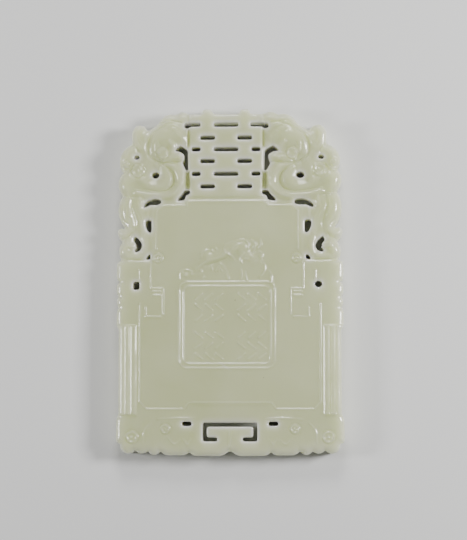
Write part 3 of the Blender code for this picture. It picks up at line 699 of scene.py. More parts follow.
    def place(self, place: Place) -> Place:
        """The face place of a flank place, with the right mane's lift growing outwards."""
        u, y, half = place
        x, _ = self.outline.on_flank(u, y, self.side)
        if self.side is Side.LEFT:
            return x, y, half
        share = min(max((u - self.lift_from) / self.lift_run, 0.0), 1.0)
        return x, y + self.outline.lift(y) * share, half

    def path(self, path: Path) -> list[Place]:
        """A smooth path on this flank."""
        return [self.place(place) for place in smooth(path)]

    def carve(self, relief: Relief) -> None:
        """Raises the forms, then cuts the lines between them and adds ridges and curls."""
        for rise, path in self.swells:
            relief.ridge(self.path(path), rise)
        for depth, left, right, path in self.cuts:
            sides = (left, right) if self.side is Side.RIGHT else (right, left)
            relief.cut(self.path(path), depth, *sides)
        for rise, path in self.ridges:
            relief.ridge(self.path(path), rise)
        self.curls(relief)

    def curls(self, relief: Relief) -> None:
        """The eye, the spirals of the mane and the claw, with their beads."""
        for u, height, radius, half, rise in self.rings:
            x, y, _ = self.place((u, height, 0))
            relief.ring(x, y, radius, half, rise)
        for u, height, shift, radius, rise in self.beads:
            x, y, _ = self.place((u, height, 0))
            relief.bead(x + shift, y, radius, rise)


@dataclass
class SmallDragon:
    """The low relief of a small dragon over the seal."""

    # In order: body, shoulder, head, mane, tail.
    swells: tuple[tuple[float, Path], ...] = (
        (0.28, ((-7.0, 2.8, 0.6), (-5.4, 3.9, 1.0), (-3.6, 4.9, 1.4), (-1.4, 5.6, 1.6), (0.8, 6.7, 1.6),
                (2.8, 7.2, 1.3))),
        (0.2, ((-4.6, 5.1, 1.1), (-4.3, 5.2, 1.1))),
        (0.25, ((2.6, 5.6, 1.2), (3.6, 5.1, 1.4), (4.6, 4.8, 1.1))),
        (0.15, ((4.4, 7.6, 1.1), (5.6, 7.3, 1.2))),
        (0.15, ((-9.4, 1.4, 0.7), (-7.8, 1.4, 0.8), (-6.0, 1.7, 0.7))),
    )
    cuts: tuple[tuple[float, Path], ...] = (
        (0.16, ((-1.5, 6.3, 0.25), (-1.0, 7.3, 0.4), (0.2, 8.1, 0.4), (1.6, 8.5, 0.3))),
        (0.2, ((-5.0, 3.2, 0.3), (-3.2, 3.7, 0.45), (-1.6, 4.3, 0.4), (-0.2, 5.0, 0.25))),
        (0.2, ((3.0, 8.2, 0.2), (3.4, 7.3, 0.35), (3.4, 6.4, 0.25))),
        (0.22, ((4.2, 8.0, 0.2), (4.4, 7.0, 0.35), (4.1, 6.0, 0.25))),
        (0.22, ((5.6, 8.2, 0.2), (5.6, 7.2, 0.3), (5.3, 6.0, 0.25))),
        (0.18, ((3.0, 5.5, 0.2), (2.8, 4.8, 0.3), (2.7, 4.2, 0.2))),
        (0.18, ((5.5, 4.9, 0.2), (5.9, 4.6, 0.3), (6.2, 4.0, 0.2))),
    )
    ridges: tuple[tuple[float, Path], ...] = (
        (0.22, ((-7.7, 1.9, 0.25), (-6.3, 3.0, 0.4), (-4.9, 4.0, 0.42), (-3.0, 4.5, 0.4), (-1.2, 5.2, 0.35),
                (0.2, 6.0, 0.3), (1.6, 6.9, 0.25))),
        (0.22, ((-5.75, 4.8, 0.3), (-5.7, 5.7, 0.4), (-4.9, 6.25, 0.4), (-4.1, 6.35, 0.25))),
        (0.2, ((-1.3, 6.4, 0.25), (-1.0, 7.2, 0.35), (-0.1, 7.85, 0.35), (1.2, 8.2, 0.35), (2.8, 8.45, 0.3))),
        (0.18, ((0.3, 6.4, 0.25), (1.2, 7.3, 0.35), (2.4, 7.6, 0.3))),
        (0.2, ((-1.1, 6.1, 0.3), (-0.5, 5.6, 0.35), (0.5, 4.9, 0.35), (1.0, 4.2, 0.3))),
        (0.24, ((-2.0, 3.6, 0.3), (-1.4, 3.2, 0.42), (-0.9, 2.4, 0.4), (-0.4, 1.4, 0.35), (-0.2, 0.6, 0.35))),
        (0.2, ((-3.7, 3.2, 0.3), (-3.6, 2.6, 0.4), (-3.5, 2.2, 0.3))),
        (0.18, ((-2.9, 2.1, 0.25), (-2.6, 2.7, 0.3), (-2.2, 3.1, 0.25))),
        (0.18, ((-2.3, 2.1, 0.25), (-1.9, 2.6, 0.25), (-1.6, 2.1, 0.25))),
        (0.22, ((3.0, 8.3, 0.25), (3.7, 7.9, 0.3), (3.9, 7.0, 0.3), (3.5, 6.0, 0.25))),
        (0.3, ((5.2, 7.4, 0.2), (5.05, 6.8, 0.32), (4.75, 6.1, 0.3), (4.5, 5.6, 0.2))),
        (0.28, ((6.2, 8.3, 0.25), (6.2, 7.6, 0.34), (6.0, 6.8, 0.25))),
        (0.2, ((4.4, 8.4, 0.2), (4.9, 8.0, 0.28), (5.0, 7.6, 0.2))),
        (0.25, ((2.9, 5.5, 0.25), (2.35, 5.0, 0.32), (2.2, 4.4, 0.32), (2.4, 3.7, 0.25))),
        (0.2, ((6.0, 6.0, 0.25), (6.5, 5.6, 0.35), (6.6, 5.0, 0.3))),
        (0.22, ((6.3, 4.9, 0.3), (6.5, 4.1, 0.25), (6.95, 3.3, 0.3), (7.0, 2.2, 0.32), (6.6, 1.3, 0.3),
                (6.0, 0.8, 0.25))),
        (0.16, ((5.6, 4.3, 0.2), (4.9, 3.8, 0.3), (4.3, 3.5, 0.2))),
        (0.2, ((2.35, 2.2, 0.28), (2.45, 1.2, 0.34), (2.3, 0.4, 0.25))),
        (0.2, ((3.1, 1.9, 0.22), (3.2, 1.1, 0.3), (3.4, 0.3, 0.28))),
        (0.18, ((-9.9, 2.1, 0.25), (-8.9, 2.35, 0.3), (-7.9, 2.1, 0.25))),
        (0.22, ((-10.15, 2.0, 0.25), (-10.2, 1.2, 0.3), (-10.15, 0.4, 0.25))),
        (0.22, ((8.0, 2.0, 0.25), (8.4, 1.2, 0.3), (8.5, 0.2, 0.3), (8.8, -0.6, 0.25))),
    )
    beads: tuple[Place, ...] = (
        (-9.5, 1.9, 0.35), (-8.8, 1.2, 0.45), (-7.7, 1.5, 0.45), (-5.8, 2.1, 0.4), (-3.55, 6.2, 0.4),
        (-2.8, 6.55, 0.35), (4.35, 5.1, 0.45), (3.6, 4.45, 0.4), (6.3, 4.9, 0.4), (-5.2, 0.9, 0.35),
    )
    bead_rise: float = 0.2

    def carve(self, relief: Relief) -> None:
        """Raises the body and its locks and cuts the lines between them."""
        for rise, path in self.swells:
            relief.ridge(smooth(path), rise)
        for depth, path in self.cuts:
            relief.cut(smooth(path), depth)
        for rise, path in self.ridges:
            relief.ridge(smooth(path), rise)
        for x, y, radius in self.beads:
            relief.bead(x, y, radius, self.bead_rise)


@dataclass
class Fret:
    """The raised lines of the panel: stepped head, corner keys, long border and the mask at the foot."""

    ground: Ground
    line_half: float = 0.3
    line_rise: float = 0.24
    inset: float = 1.03
    keys: tuple[tuple[Point, ...], ...] = (
        ((15.35, 3.8), (15.35, -1.4), (12.85, -1.4), (12.85, -6.6)),
        ((15.0, -1.95), (13.4, -1.95)),
        ((15.0, -2.75), (13.4, -2.75)),
        ((16.45, -5.15), (16.45, -7.1), (13.4, -7.1)),
        ((17.8, 2.3), (17.8, 0.1)),
    )
    border: tuple[Point, ...] = (
        (18.15, -4.5), (18.15, -24.2), (16.9, -25.6), (9.3, -25.6), (8.3, -24.3), (0.0, -24.3),
    )
    head_drop: float = 0.75
    shoulder_drop: float = 0.85
    step_inset: float = 0.5
    frame_corner: float = 0.9
    frame_foot: float = 6.6
    flutes: tuple[float, ...] = (20.1, 21.3)
    flute_half: float = 0.42
    flute_depth: float = 0.32
    mask_rise: float = 0.2
    curl_gap: float = 0.45
    curl_groove: Point = (0.3, 0.15)
    stem_lines: tuple[float, ...] = (-0.2, 0.2)
    stem_run: Point = (-30.0, -33.3)
    stem_half: float = 0.16
    stem_rise: float = 0.14
    flute_run: Point = (-9.2, -26.4)
    mask_lines: tuple[Path, ...] = (
        ((-15.9, -28.5, 0.2), (-16.9, -29.5, 0.3), (-17.3, -30.7, 0.3), (-17.4, -32.4, 0.2)),
        ((-14.5, -27.6, 0.2), (-11.0, -27.4, 0.3), (-7.0, -27.4, 0.2)),
        ((-12.4, -31.4, 0.2), (-11.2, -32.6, 0.35), (-10.0, -31.8, 0.2)),
        ((-9.4, -31.6, 0.2), (-8.6, -32.7, 0.35), (-7.9, -31.6, 0.2)),
    )
    curls: tuple[tuple[float, ...], ...] = (
        (13.95, 4.75, 0.75, 0.3, 0.25), (13.0, -29.6, 0.75, 0.28, 0.22), (19.7, -31.2, 1.0, 0.36, 0.25),
    )

    def line(self, relief: Relief, points: Sequence[Point], half: float | None = None) -> None:
        """A thin raised line with a faint groove on both sides of it."""
        half = half or self.line_half
        relief.cut([(x, y, 2.4 * half) for x, y in points], 0.3 * self.line_rise)
        relief.ridge([(x, y, half) for x, y in points], self.line_rise)

    def carve(self, relief: Relief) -> None:
        """Carves every line of the panel and the foot."""
        middle = self.ground.panel_middle
        far, near = self.ground.panel_half - self.inset, self.ground.step_half - self.step_inset
        head = self.ground.panel_head - self.head_drop
        shoulder, corner = self.ground.panel_shoulder - self.shoulder_drop, self.frame_corner
        half = (
            (near, head), (near, shoulder), (far - corner, shoulder), (far, shoulder - corner),
            (far, self.frame_foot),
        )
        self.line(relief, [(middle - x, y) for x, y in half[::-1]] + [(middle + x, y) for x, y in half])
        for side in (-1, 1):
            for points in self.keys:
                self.line(relief, [(middle + side * x, y) for x, y in points])
            for x in self.flutes:
                relief.cut([(side * x, y, self.flute_half) for y in self.flute_run], self.flute_depth)
            for path in self.mask_lines:
                places = [(-side * x, y, half_width) for x, y, half_width in smooth(path)]
                relief.ridge(places, self.mask_rise)
        full = [(-x, y) for x, y in self.border] + [(x, y) for x, y in self.border[-2::-1]]
        self.line(relief, full)
        for x, y, radius, half_width, rise in self.curls:
            centre = middle if y > 0 else 0.0
            for side in (-1, 1):
                groove_half, groove_depth = self.curl_groove
                relief.ring(centre + side * x, y, radius + self.curl_gap, groove_half, -groove_depth)
                relief.ring(centre + side * x, y, radius, half_width, rise)
                relief.bead(centre + side * x, y, 0.6 * half_width + 0.15, rise)
        for x in self.stem_lines:
            relief.ridge([(x, y, self.stem_half) for y in self.stem_run], self.stem_rise)


@dataclass
class Seal:
    """A double frame with rounded corners around rows of short strokes that are no letters."""

    middle: float = -0.6
    half: float = 9.6
    top: float = -0.1
    foot: float = -17.4
    frames: tuple[tuple[float, float], ...] = ((0.0, 1.6), (0.85, 1.1))
    frame_half: float = 0.26
    frame_rise: float = 0.22
    columns: tuple[float, ...] = (-4.2, 4.4)
    blocks: tuple[float, ...] = (-5.2, -12.9)
    block_width: float = 6.2
    block_height: float = 6.4
    rows: int = 3
    strokes: int = 3
    slant: float = math.radians(38)
    stroke_share: float = 0.42
    stroke_halves: Point = (0.3, 0.22)
    stroke_rise: float = 0.26

    def carve(self, relief: Relief) -> None:
        """Raises the frame and the strokes."""
        for inset, corner in self.frames:
            loop = rounded(
                self.middle - self.half + inset, self.foot + inset,
                self.middle + self.half - inset, self.top - inset, corner, math.radians(15),
            )
            relief.ridge([(x, y, self.frame_half) for x, y in [*loop, loop[0]]], self.frame_rise)
        for column, x in enumerate(self.columns):
            for block, y in enumerate(self.blocks):
                self.block(relief, x, y, column + block)

    def block(self, relief: Relief, x: float, y: float, turn: int) -> None:
        """One block of strokes; its rows lean one way and the other by turns."""
        pitch_x, pitch_y = self.block_width / self.strokes, self.block_height / self.rows
        for row in range(self.rows):
            for number in range(self.strokes):
                slant = self.slant * (-1) ** (row + turn)
                middle_x = x + pitch_x * (number - (self.strokes - 1) / 2)
                middle_y = y + pitch_y * (row - (self.rows - 1) / 2)
                reach = self.stroke_share * pitch_x
                dx, dy = reach * math.cos(slant), reach * math.sin(slant)
                start, end = self.stroke_halves
                path = [(middle_x - dx, middle_y - dy, start), (middle_x + dx, middle_y + dy, end)]
                relief.ridge(path, self.stroke_rise)


@dataclass
class Edges:
    """How the edge and the rims of the openings are rounded off."""

    outline: Outline
    fall: float = 0.55
    fall_reach: float = 1.5
    lattice_fall: float = 0.15
    outer_radius: float = 0.4
    opening_radius: float = 0.22
    opening_fall: float = 0.1
    opening_reach: float = 0.7
    nick: Place = (14.7, -34.3, 0.6)
    nick_depth: float = 0.5

    def carve(self, relief: Relief, outer: np.ndarray, opening: np.ndarray) -> None:
        """Lets the face fall towards its edges.

        Args:
            relief: The face.
            outer: Each cell's distance from the edge.
            opening: Each cell's distance from the nearest opening.
        """
        share = np.clip(1 - outer / self.fall_reach, 0, 1)
        inner = np.abs(relief.xs - self.outline.lattice_middle) < self.outline.lattice_half
        on_lattice = inner[None, :] & (relief.ys[:, None] > self.outline.slot_rows[-1])
        relief.height -= np.where(on_lattice, self.lattice_fall, self.fall) * share**2
        share = np.clip(1 - opening / self.opening_reach, 0, 1)
        relief.height -= self.opening_fall * share**2
        x, y, radius = self.nick
        relief.bead(x, y, radius, -self.nick_depth)


@dataclass
class Samples:
    """The points at which the face is measured for its mesh: close together only where it curves."""

    relief: Relief
    tolerance: float = 0.012
    fine_tolerance: float = 0.022
    coarsest: int = 16
    finest: int = 2

    def interpolated(self, cells: int) -> np.ndarray:
        """The face as it looks when it is known only at every so many cells."""
        coarse = self.relief.height[::cells, ::cells]
        for axis in (0, 1):
            length = (coarse.shape[axis] - 1) * cells + 1
            at = np.arange(length) / cells
            low = np.minimum(at.astype(int), coarse.shape[axis] - 2)
            shape = (-1, 1) if axis == 0 else (1, -1)
            share = (at - low).reshape(shape)
            coarse = np.take(coarse, low, axis) * (1 - share) + np.take(coarse, low + 1, axis) * share
        return coarse

    def points(self) -> np.ndarray:
        """The rows and columns of the chosen cells, as places on the face."""
        rows = (self.relief.height.shape[0] - 1) // self.coarsest
        cols = (self.relief.height.shape[1] - 1) // self.coarsest
        split = np.ones((rows, cols), bool)
        chosen: list[np.ndarray] = []
        cells = self.coarsest
        while True:
            high, wide = split.shape
            if cells > self.finest:
                rough = self.interpolated(cells)[: high * cells, : wide * cells]
                error = np.abs(rough - self.relief.height[: high * cells, : wide * cells])
                worst = error.reshape(high, cells, wide, cells).max(axis=(1, 3))
                allowed = self.fine_tolerance if cells == 2 * self.finest else self.tolerance
                deeper = split & (worst > allowed)
            else:
                deeper = np.zeros_like(split)
            leaf_rows, leaf_cols = np.nonzero(split & ~deeper)
            for add_row, add_col in ((0, 0), (0, 1), (1, 0), (1, 1)):
                chosen.append(np.stack(
                    [(leaf_rows + add_row) * cells, (leaf_cols + add_col) * cells], axis=1,
                ))
            if cells <= self.finest:
                break
            split = np.repeat(np.repeat(deeper, 2, axis=0), 2, axis=1)
            cells //= 2
        cells_found = np.unique(np.concatenate(chosen), axis=0)
        return np.stack([self.relief.xs[cells_found[:, 1]], self.relief.ys[cells_found[:, 0]]], axis=1)


@dataclass
class Plaque:
    """The whole pendant: a carved face, the walls of its edge and openings, and a plain back."""

    half_width: float
    half_height: float
    thickness: float
    cell: float = 0.05
    polish: float = 0.075
    edge_spacing: float = 0.26
    opening_spacing: float = 0.2
    ring_shares: tuple[float, ...] = (0.1, 0.3, 0.6, 1.0)
    wall_shares: tuple[float, ...] = (0.8, 0.45, 0.12)
    foot_round: float = 0.16
    opening_foot: float = 0.06
    back_spacing: float = 1.6
    recess_half: float = 13.2
    recess_foot: float = -23.0
    recess_top: float = 13.0
    recess_corner: float = 2.5
    recess_depth: float = 0.3
    recess_slope: float = 0.35
    recess_step: float = math.radians(12)
    ring_clearance: float = 0.86
    edge_clearance: float = 1.3
    opening_clearance: float = 1.4
    back_clearance: float = 0.8
    recess_clearance: float = 0.4
    # Painted glow: how strongly the stone's colour is paled near the edge and on the walls of the openings,
    # standing in for light that shines through thin stone.
    painted_glow_share: float = 0.45
    painted_glow_reach: float = 1.1
    opening_glow_reach: float = 0.35
    hollow_width: float = 0.5
    hollow_depth: float = 0.25

    def carve(self) -> None:
        """Carves the face as a height field and measures how far each cell is from an edge."""
        self.outline = Outline(self.half_width, self.half_height)
        self.edges = Edges(self.outline)
        ground = Ground(self.outline)
        self.panel_middle = ground.panel_middle
        relief = Relief(self.half_width, self.half_height, self.cell, ground.flank_top)
        ground.carve(relief)
        for side in Side:
            LargeDragon(self.outline, side).carve(relief)
            log.info("carved the large dragon on the %s", side.name.lower())
        ground.channel(relief)
        SmallDragon().carve(relief)
        log.info("carved the small dragon")
        Fret(ground).carve(relief)
        Seal().carve(relief)
        log.info("carved the fret, the mask and the seal")
        self.edge_loop = turned(eased(self.outline.edge(), self.edge_spacing, 1), True)
        loops = self.outline.openings()
        self.opening_loops = [turned(eased(loop, self.opening_spacing, 2), False) for loop in loops]
        self.outer = relief.distance([[tuple(p) for p in self.edge_loop]], 3.0)
        self.inner = relief.distance([[tuple(p) for p in loop] for loop in self.opening_loops], 3.0)
        self.edges.carve(relief, self.outer, self.inner)
        relief.polish(self.polish)
        ground.wave(relief)
        relief.height = np.minimum(relief.height, self.thickness)
        self.relief = relief

    def rings(self) -> tuple[np.ndarray, np.ndarray]:
        """Points in rings along every edge, and how far the rounding of the edge drops each."""
        places, drops = [], []
        jobs = [(self.edge_loop, self.edges.outer_radius, self.outer, self.inner, self.edges.opening_radius)]
        jobs += [
            (loop, self.edges.opening_radius, self.inner, self.outer, self.edges.outer_radius)
            for loop in self.opening_loops
        ]
        for loop, radius, own, other, other_radius in jobs:
            normals = inward_normals(loop)
            for share in self.ring_shares:
                ring = loop + normals * radius * share
                clear = self.relief.sample(own, ring) > self.ring_clearance * radius * share
                clear &= self.relief.sample(other, ring) > self.edge_clearance * other_radius
                places.append(ring[clear])
                drops.append(np.full(clear.sum(), radius * (1 - math.sqrt(1 - (1 - share) ** 2))))
        return np.concatenate(places), np.concatenate(drops)

    def solid(self) -> np.ndarray:
        """The cells that have stone under them, as ones among zeros."""
        solid = self.relief.inside([tuple(p) for p in self.edge_loop])
        for loop in self.opening_loops:
            solid &= ~self.relief.inside([tuple(p) for p in loop])
        return solid.astype(float)

    def face_points(self) -> tuple[np.ndarray, np.ndarray]:
        """Every point of the face inside its edges, and how far each is dropped."""
        points = Samples(self.relief).points()
        keep = self.relief.sample(self.solid(), points) > 0.5
        keep &= self.relief.sample(self.outer, points) > self.edge_clearance * self.edges.outer_radius
        keep &= self.relief.sample(self.inner, points) > self.opening_clearance * self.edges.opening_radius
        points = points[keep]
        ring_points, ring_drops = self.rings()
        return np.concatenate([ring_points, points]), np.concatenate([ring_drops, np.zeros(len(points))])

    @staticmethod
    def triangles(
        loops: Sequence[np.ndarray], points: np.ndarray,
    ) -> tuple[np.ndarray, np.ndarray, np.ndarray]:
        """Fills a loop, less the loops inside it, with triangles.

        Args:
            loops: The edge and then the openings.
            points: Points to use inside.

        Returns:
            The places of the vertices, the triangles, and for each point of the loops and then each
            inside point the number of its vertex.
        """
        areas, start = [], 0
        for loop in loops:
            numbers = list(range(start, start + len(loop)))
            areas.append(numbers[::-1] if areas else numbers)
            start += len(loop)
        every = np.concatenate([*loops, points])
        result = delaunay_2d_cdt([Vector(p) for p in every], [], areas, 1, 1e-6, True)
        vertices, sources = result[0], result[3]
        faces = [face for face, within in zip(result[2], result[5]) if within == [0]]
        number_of = np.full(len(every), -1)
        for number, origin in enumerate(sources):
            number_of[list(origin)] = number
        return np.array([tuple(v) for v in vertices]), np.array(faces, int), number_of

    def build(self) -> bpy.types.Object:
        """Draws the mesh over the carved face, down the walls and over the back.

        Returns:
            The plaque, one closed piece, with the measures that its finish reads as attributes.
        """
        loops = [self.edge_loop, *self.opening_loops]
        ring, drop = self.face_points()
        flat, faces, number_of = self.triangles(loops, ring)
        radii = [self.edges.outer_radius] + [self.edges.opening_radius] * len(self.opening_loops)
        drops = np.concatenate([*(np.full(len(loop), r) for loop, r in zip(loops, radii)), drop])
        fall = np.zeros(len(flat))
        fall[number_of] = drops
        heights = self.relief.sample(self.relief.height, flat) - fall
        parts = [np.column_stack([flat, heights])]
        every_face = [faces]
        total, rims, start = len(flat), [], 0
        for loop in loops:
            foot = self.opening_foot if rims else self.foot_round
            top = number_of[start:start + len(loop)]
            start += len(loop)
            below, normals = [top], inward_normals(loop)
            for share in self.wall_shares:
                level = foot + (heights[top] - foot) * share
                parts.append(np.column_stack([loop, level]))
                below.append(total + np.arange(len(loop)))
                total += len(loop)
            for turn in (0.5, 1.0):
                angle = turn * math.pi / 2
                inset = loop + normals * foot * (1 - math.cos(angle))
                level = np.full(len(loop), foot * (1 - math.sin(angle)))
                parts.append(np.column_stack([inset, level]))
                below.append(total + np.arange(len(loop)))
                total += len(loop)
            rims.append((inset, below[-1]))
            for upper, lower in zip(below, below[1:]):
                next_upper, next_lower = np.roll(upper, -1), np.roll(lower, -1)
                every_face.append(np.stack([upper, lower, next_lower], axis=1))
                every_face.append(np.stack([upper, next_lower, next_upper], axis=1))
        back, back_faces = self.back(rims, total)
        vertices = np.concatenate([*parts, back])
        return self.mesh(vertices, np.concatenate([*every_face, back_faces]))

    def back(self, rims: list[tuple[np.ndarray, np.ndarray]], first: int) -> tuple[np.ndarray, np.ndarray]:
        """Closes the back, flat but for a shallow recess.

        Args:
            rims: The places of each loop's lowest ring and the numbers of its vertices.
            first: The number of the next vertex.

        Returns:
            The new vertices, and the triangles of the back.
        """
        lines = []
        for inset in (0.0, self.recess_slope):
            loop = rounded(
                self.panel_middle - self.recess_half + inset, self.recess_foot + inset,
                self.panel_middle + self.recess_half - inset, self.recess_top - inset,
                self.recess_corner - inset, self.recess_step,
            )
            lines.append(divided(loop, self.back_spacing))
        xs = np.arange(-self.half_width, self.half_width, self.back_spacing)
        ys = np.arange(-self.half_height, self.half_height, self.back_spacing)
        grid = np.stack(np.meshgrid(xs, ys), axis=-1).reshape(-1, 2)
        clear = self.relief.sample(self.solid(), grid) > 0.5
        for field in (self.outer, self.inner):
            clear &= self.relief.sample(field, grid) > self.back_clearance
        recess = [[tuple(p) for p in line] for line in lines]
        clear &= self.relief.sample(self.relief.distance(recess, 1.0), grid) > self.recess_clearance
        inside = self.relief.sample(self.relief.inside(recess[1]).astype(float), grid) > 0.5
        points = np.concatenate([*lines, grid[clear]])
        levels = np.concatenate([
            np.zeros(len(lines[0])), np.full(len(lines[1]), self.recess_depth),
            np.where(inside[clear], self.recess_depth, 0.0),
        ])
        rim_count = sum(len(place) for place, _ in rims)
        flat, faces, number_of = self.triangles([place for place, _ in rims], points)
        joined = np.full(len(flat), -1)
        joined[number_of[:rim_count]] = np.concatenate([numbers for _, numbers in rims])
        fresh = np.nonzero(joined < 0)[0]
        joined[fresh] = first + np.arange(len(fresh))
        level_of = np.zeros(len(flat))
        level_of[number_of[rim_count:]] = levels
        return np.column_stack([flat[fresh], level_of[fresh]]), joined[faces][:, ::-1]

    def mesh(self, vertices: np.ndarray, faces: np.ndarray) -> bpy.types.Object:
        """The mesh object, shaded smooth, with the attributes that its finish reads."""
        mesh = bpy.data.meshes.new("carved_jade_pendant")
        mesh.from_pydata((vertices * MM).tolist(), [], faces.tolist())
        mesh.validate()
        mesh.shade_smooth()
        places = vertices[:, :2]
        edge, opening = self.relief.sample(self.outer, places), self.relief.sample(self.inner, places)
        # Painted glow: it fades in from the edge and is full on the walls of the openings, standing in for
        # light shining through thin stone; the hollow measure below only dulls the polish.
        painted_glow = self.painted_glow_share * np.exp(-edge / self.painted_glow_reach)
        painted_glow = np.maximum(painted_glow, np.exp(-opening / self.opening_glow_reach))
        blurred = Relief(self.half_width, self.half_height, self.cell, 0.0)
        blurred.height = self.relief.height
        blurred.polish(self.hollow_width)
        hollow = np.clip((blurred.height - self.relief.height) / self.hollow_depth, -1, 1)
        for name, values in (("painted_edge_glow", painted_glow), ("hollow", self.relief.sample(hollow, places))):
            attribute = mesh.attributes.new(name, "FLOAT", "POINT")
            attribute.data.foreach_set("value", values.astype(np.float32))
        obj = bpy.data.objects.new("carved_jade_pendant", mesh)
        bpy.context.scene.collection.objects.link(obj)
        return obj


class NodeWriter:
    """Adds and joins shader nodes in a tree with little to say for each."""

    def __init__(self, tree: bpy.types.NodeTree) -> None:
        """Writes into a node tree."""
        self.tree = tree

    def add(self, kind: str, values: dict | None = None, **settings: object) -> bpy.types.Node:
        """Adds a node.

        Args:
            kind: The node's type name.
            values: Values or output sockets for its inputs, by name or number.
            **settings: Values for the node's own properties.

        Returns:
            The node.
        """
        node = self.tree.nodes.new(kind)
        for name, value in settings.items():
            setattr(node, name, value)
        for name, value in (values or {}).items():
            if isinstance(value, bpy.types.NodeSocket):
                self.tree.links.new(value, node.inputs[name])
            else:
                node.inputs[name].default_value = value
        return node

    def math(self, operation: str, *values: object) -> bpy.types.NodeSocket:
        """The result of a calculation on two or three values or sockets."""
        return self.add("ShaderNodeMath", dict(enumerate(values)), operation=operation).outputs[0]

    def mix(self, share: object, first: object, second: object) -> bpy.types.NodeSocket:
        """A colour between two colours."""
        node = self.add("ShaderNodeMix", {0: share, 6: first, 7: second}, data_type="RGBA")
        return node.outputs[2]

    def span(
        self, value: object, low: float, high: float, to_low: float, to_high: float,
    ) -> bpy.types.NodeSocket:
        """A value carried from one range to another, and held to its ends."""
        inputs = {0: value, 1: low, 2: high, 3: to_low, 4: to_high}
        return self.add("ShaderNodeMapRange", inputs).outputs[0]


def new_group(
    name: str, inputs: dict[str, float], outputs: Sequence[str],
) -> tuple[bpy.types.NodeTree, NodeWriter]:
    """Starts a shader node group whose sockets are all numbers.

    Args:
        name: The group's name.
        inputs: Each input's name and usual value.
        outputs: The outputs' names.

    Returns:
        The group and a writer for it.
    """
    group = bpy.data.node_groups.new(name, "ShaderNodeTree")
    for socket, value in inputs.items():
        group.interface.new_socket(
            socket, in_out="INPUT", socket_type="NodeSocketFloat",
        ).default_value = value
    for socket in outputs:
        group.interface.new_socket(socket, in_out="OUTPUT", socket_type="NodeSocketFloat")
    return group, NodeWriter(group)


def cloud_group() -> bpy.types.NodeTree:
    """Soft clouds and fine grain over any surface, by its own place; used by the stone and the floor."""
    group, write = new_group(
        "clouds_and_grain", {"Cloud scale": 60.0, "Grain scale": 900.0}, ("Cloud", "Grain"),
    )
    given = write.add("NodeGroupInput").outputs
    place = write.add("ShaderNodeTexCoord").outputs["Object"]
    cloud = write.add("ShaderNodeTexNoise", {
        "Vector": place, "Scale": given["Cloud scale"], "Detail": 4.0, "Roughness": 0.5, "Distortion": 0.6,
    })
    grain = write.add("ShaderNodeTexNoise", {
        "Vector": place, "Scale": given["Grain scale"], "Detail": 3.0, "Roughness": 0.55,
    })
    values = {
        "Cloud": write.span(cloud.outputs["Fac"], 0.3, 0.7, 0.0, 1.0),
        "Grain": write.span(grain.outputs["Fac"], 0.3, 0.7, 0.0, 1.0),
    }
    write.add("NodeGroupOutput", values)
    return group


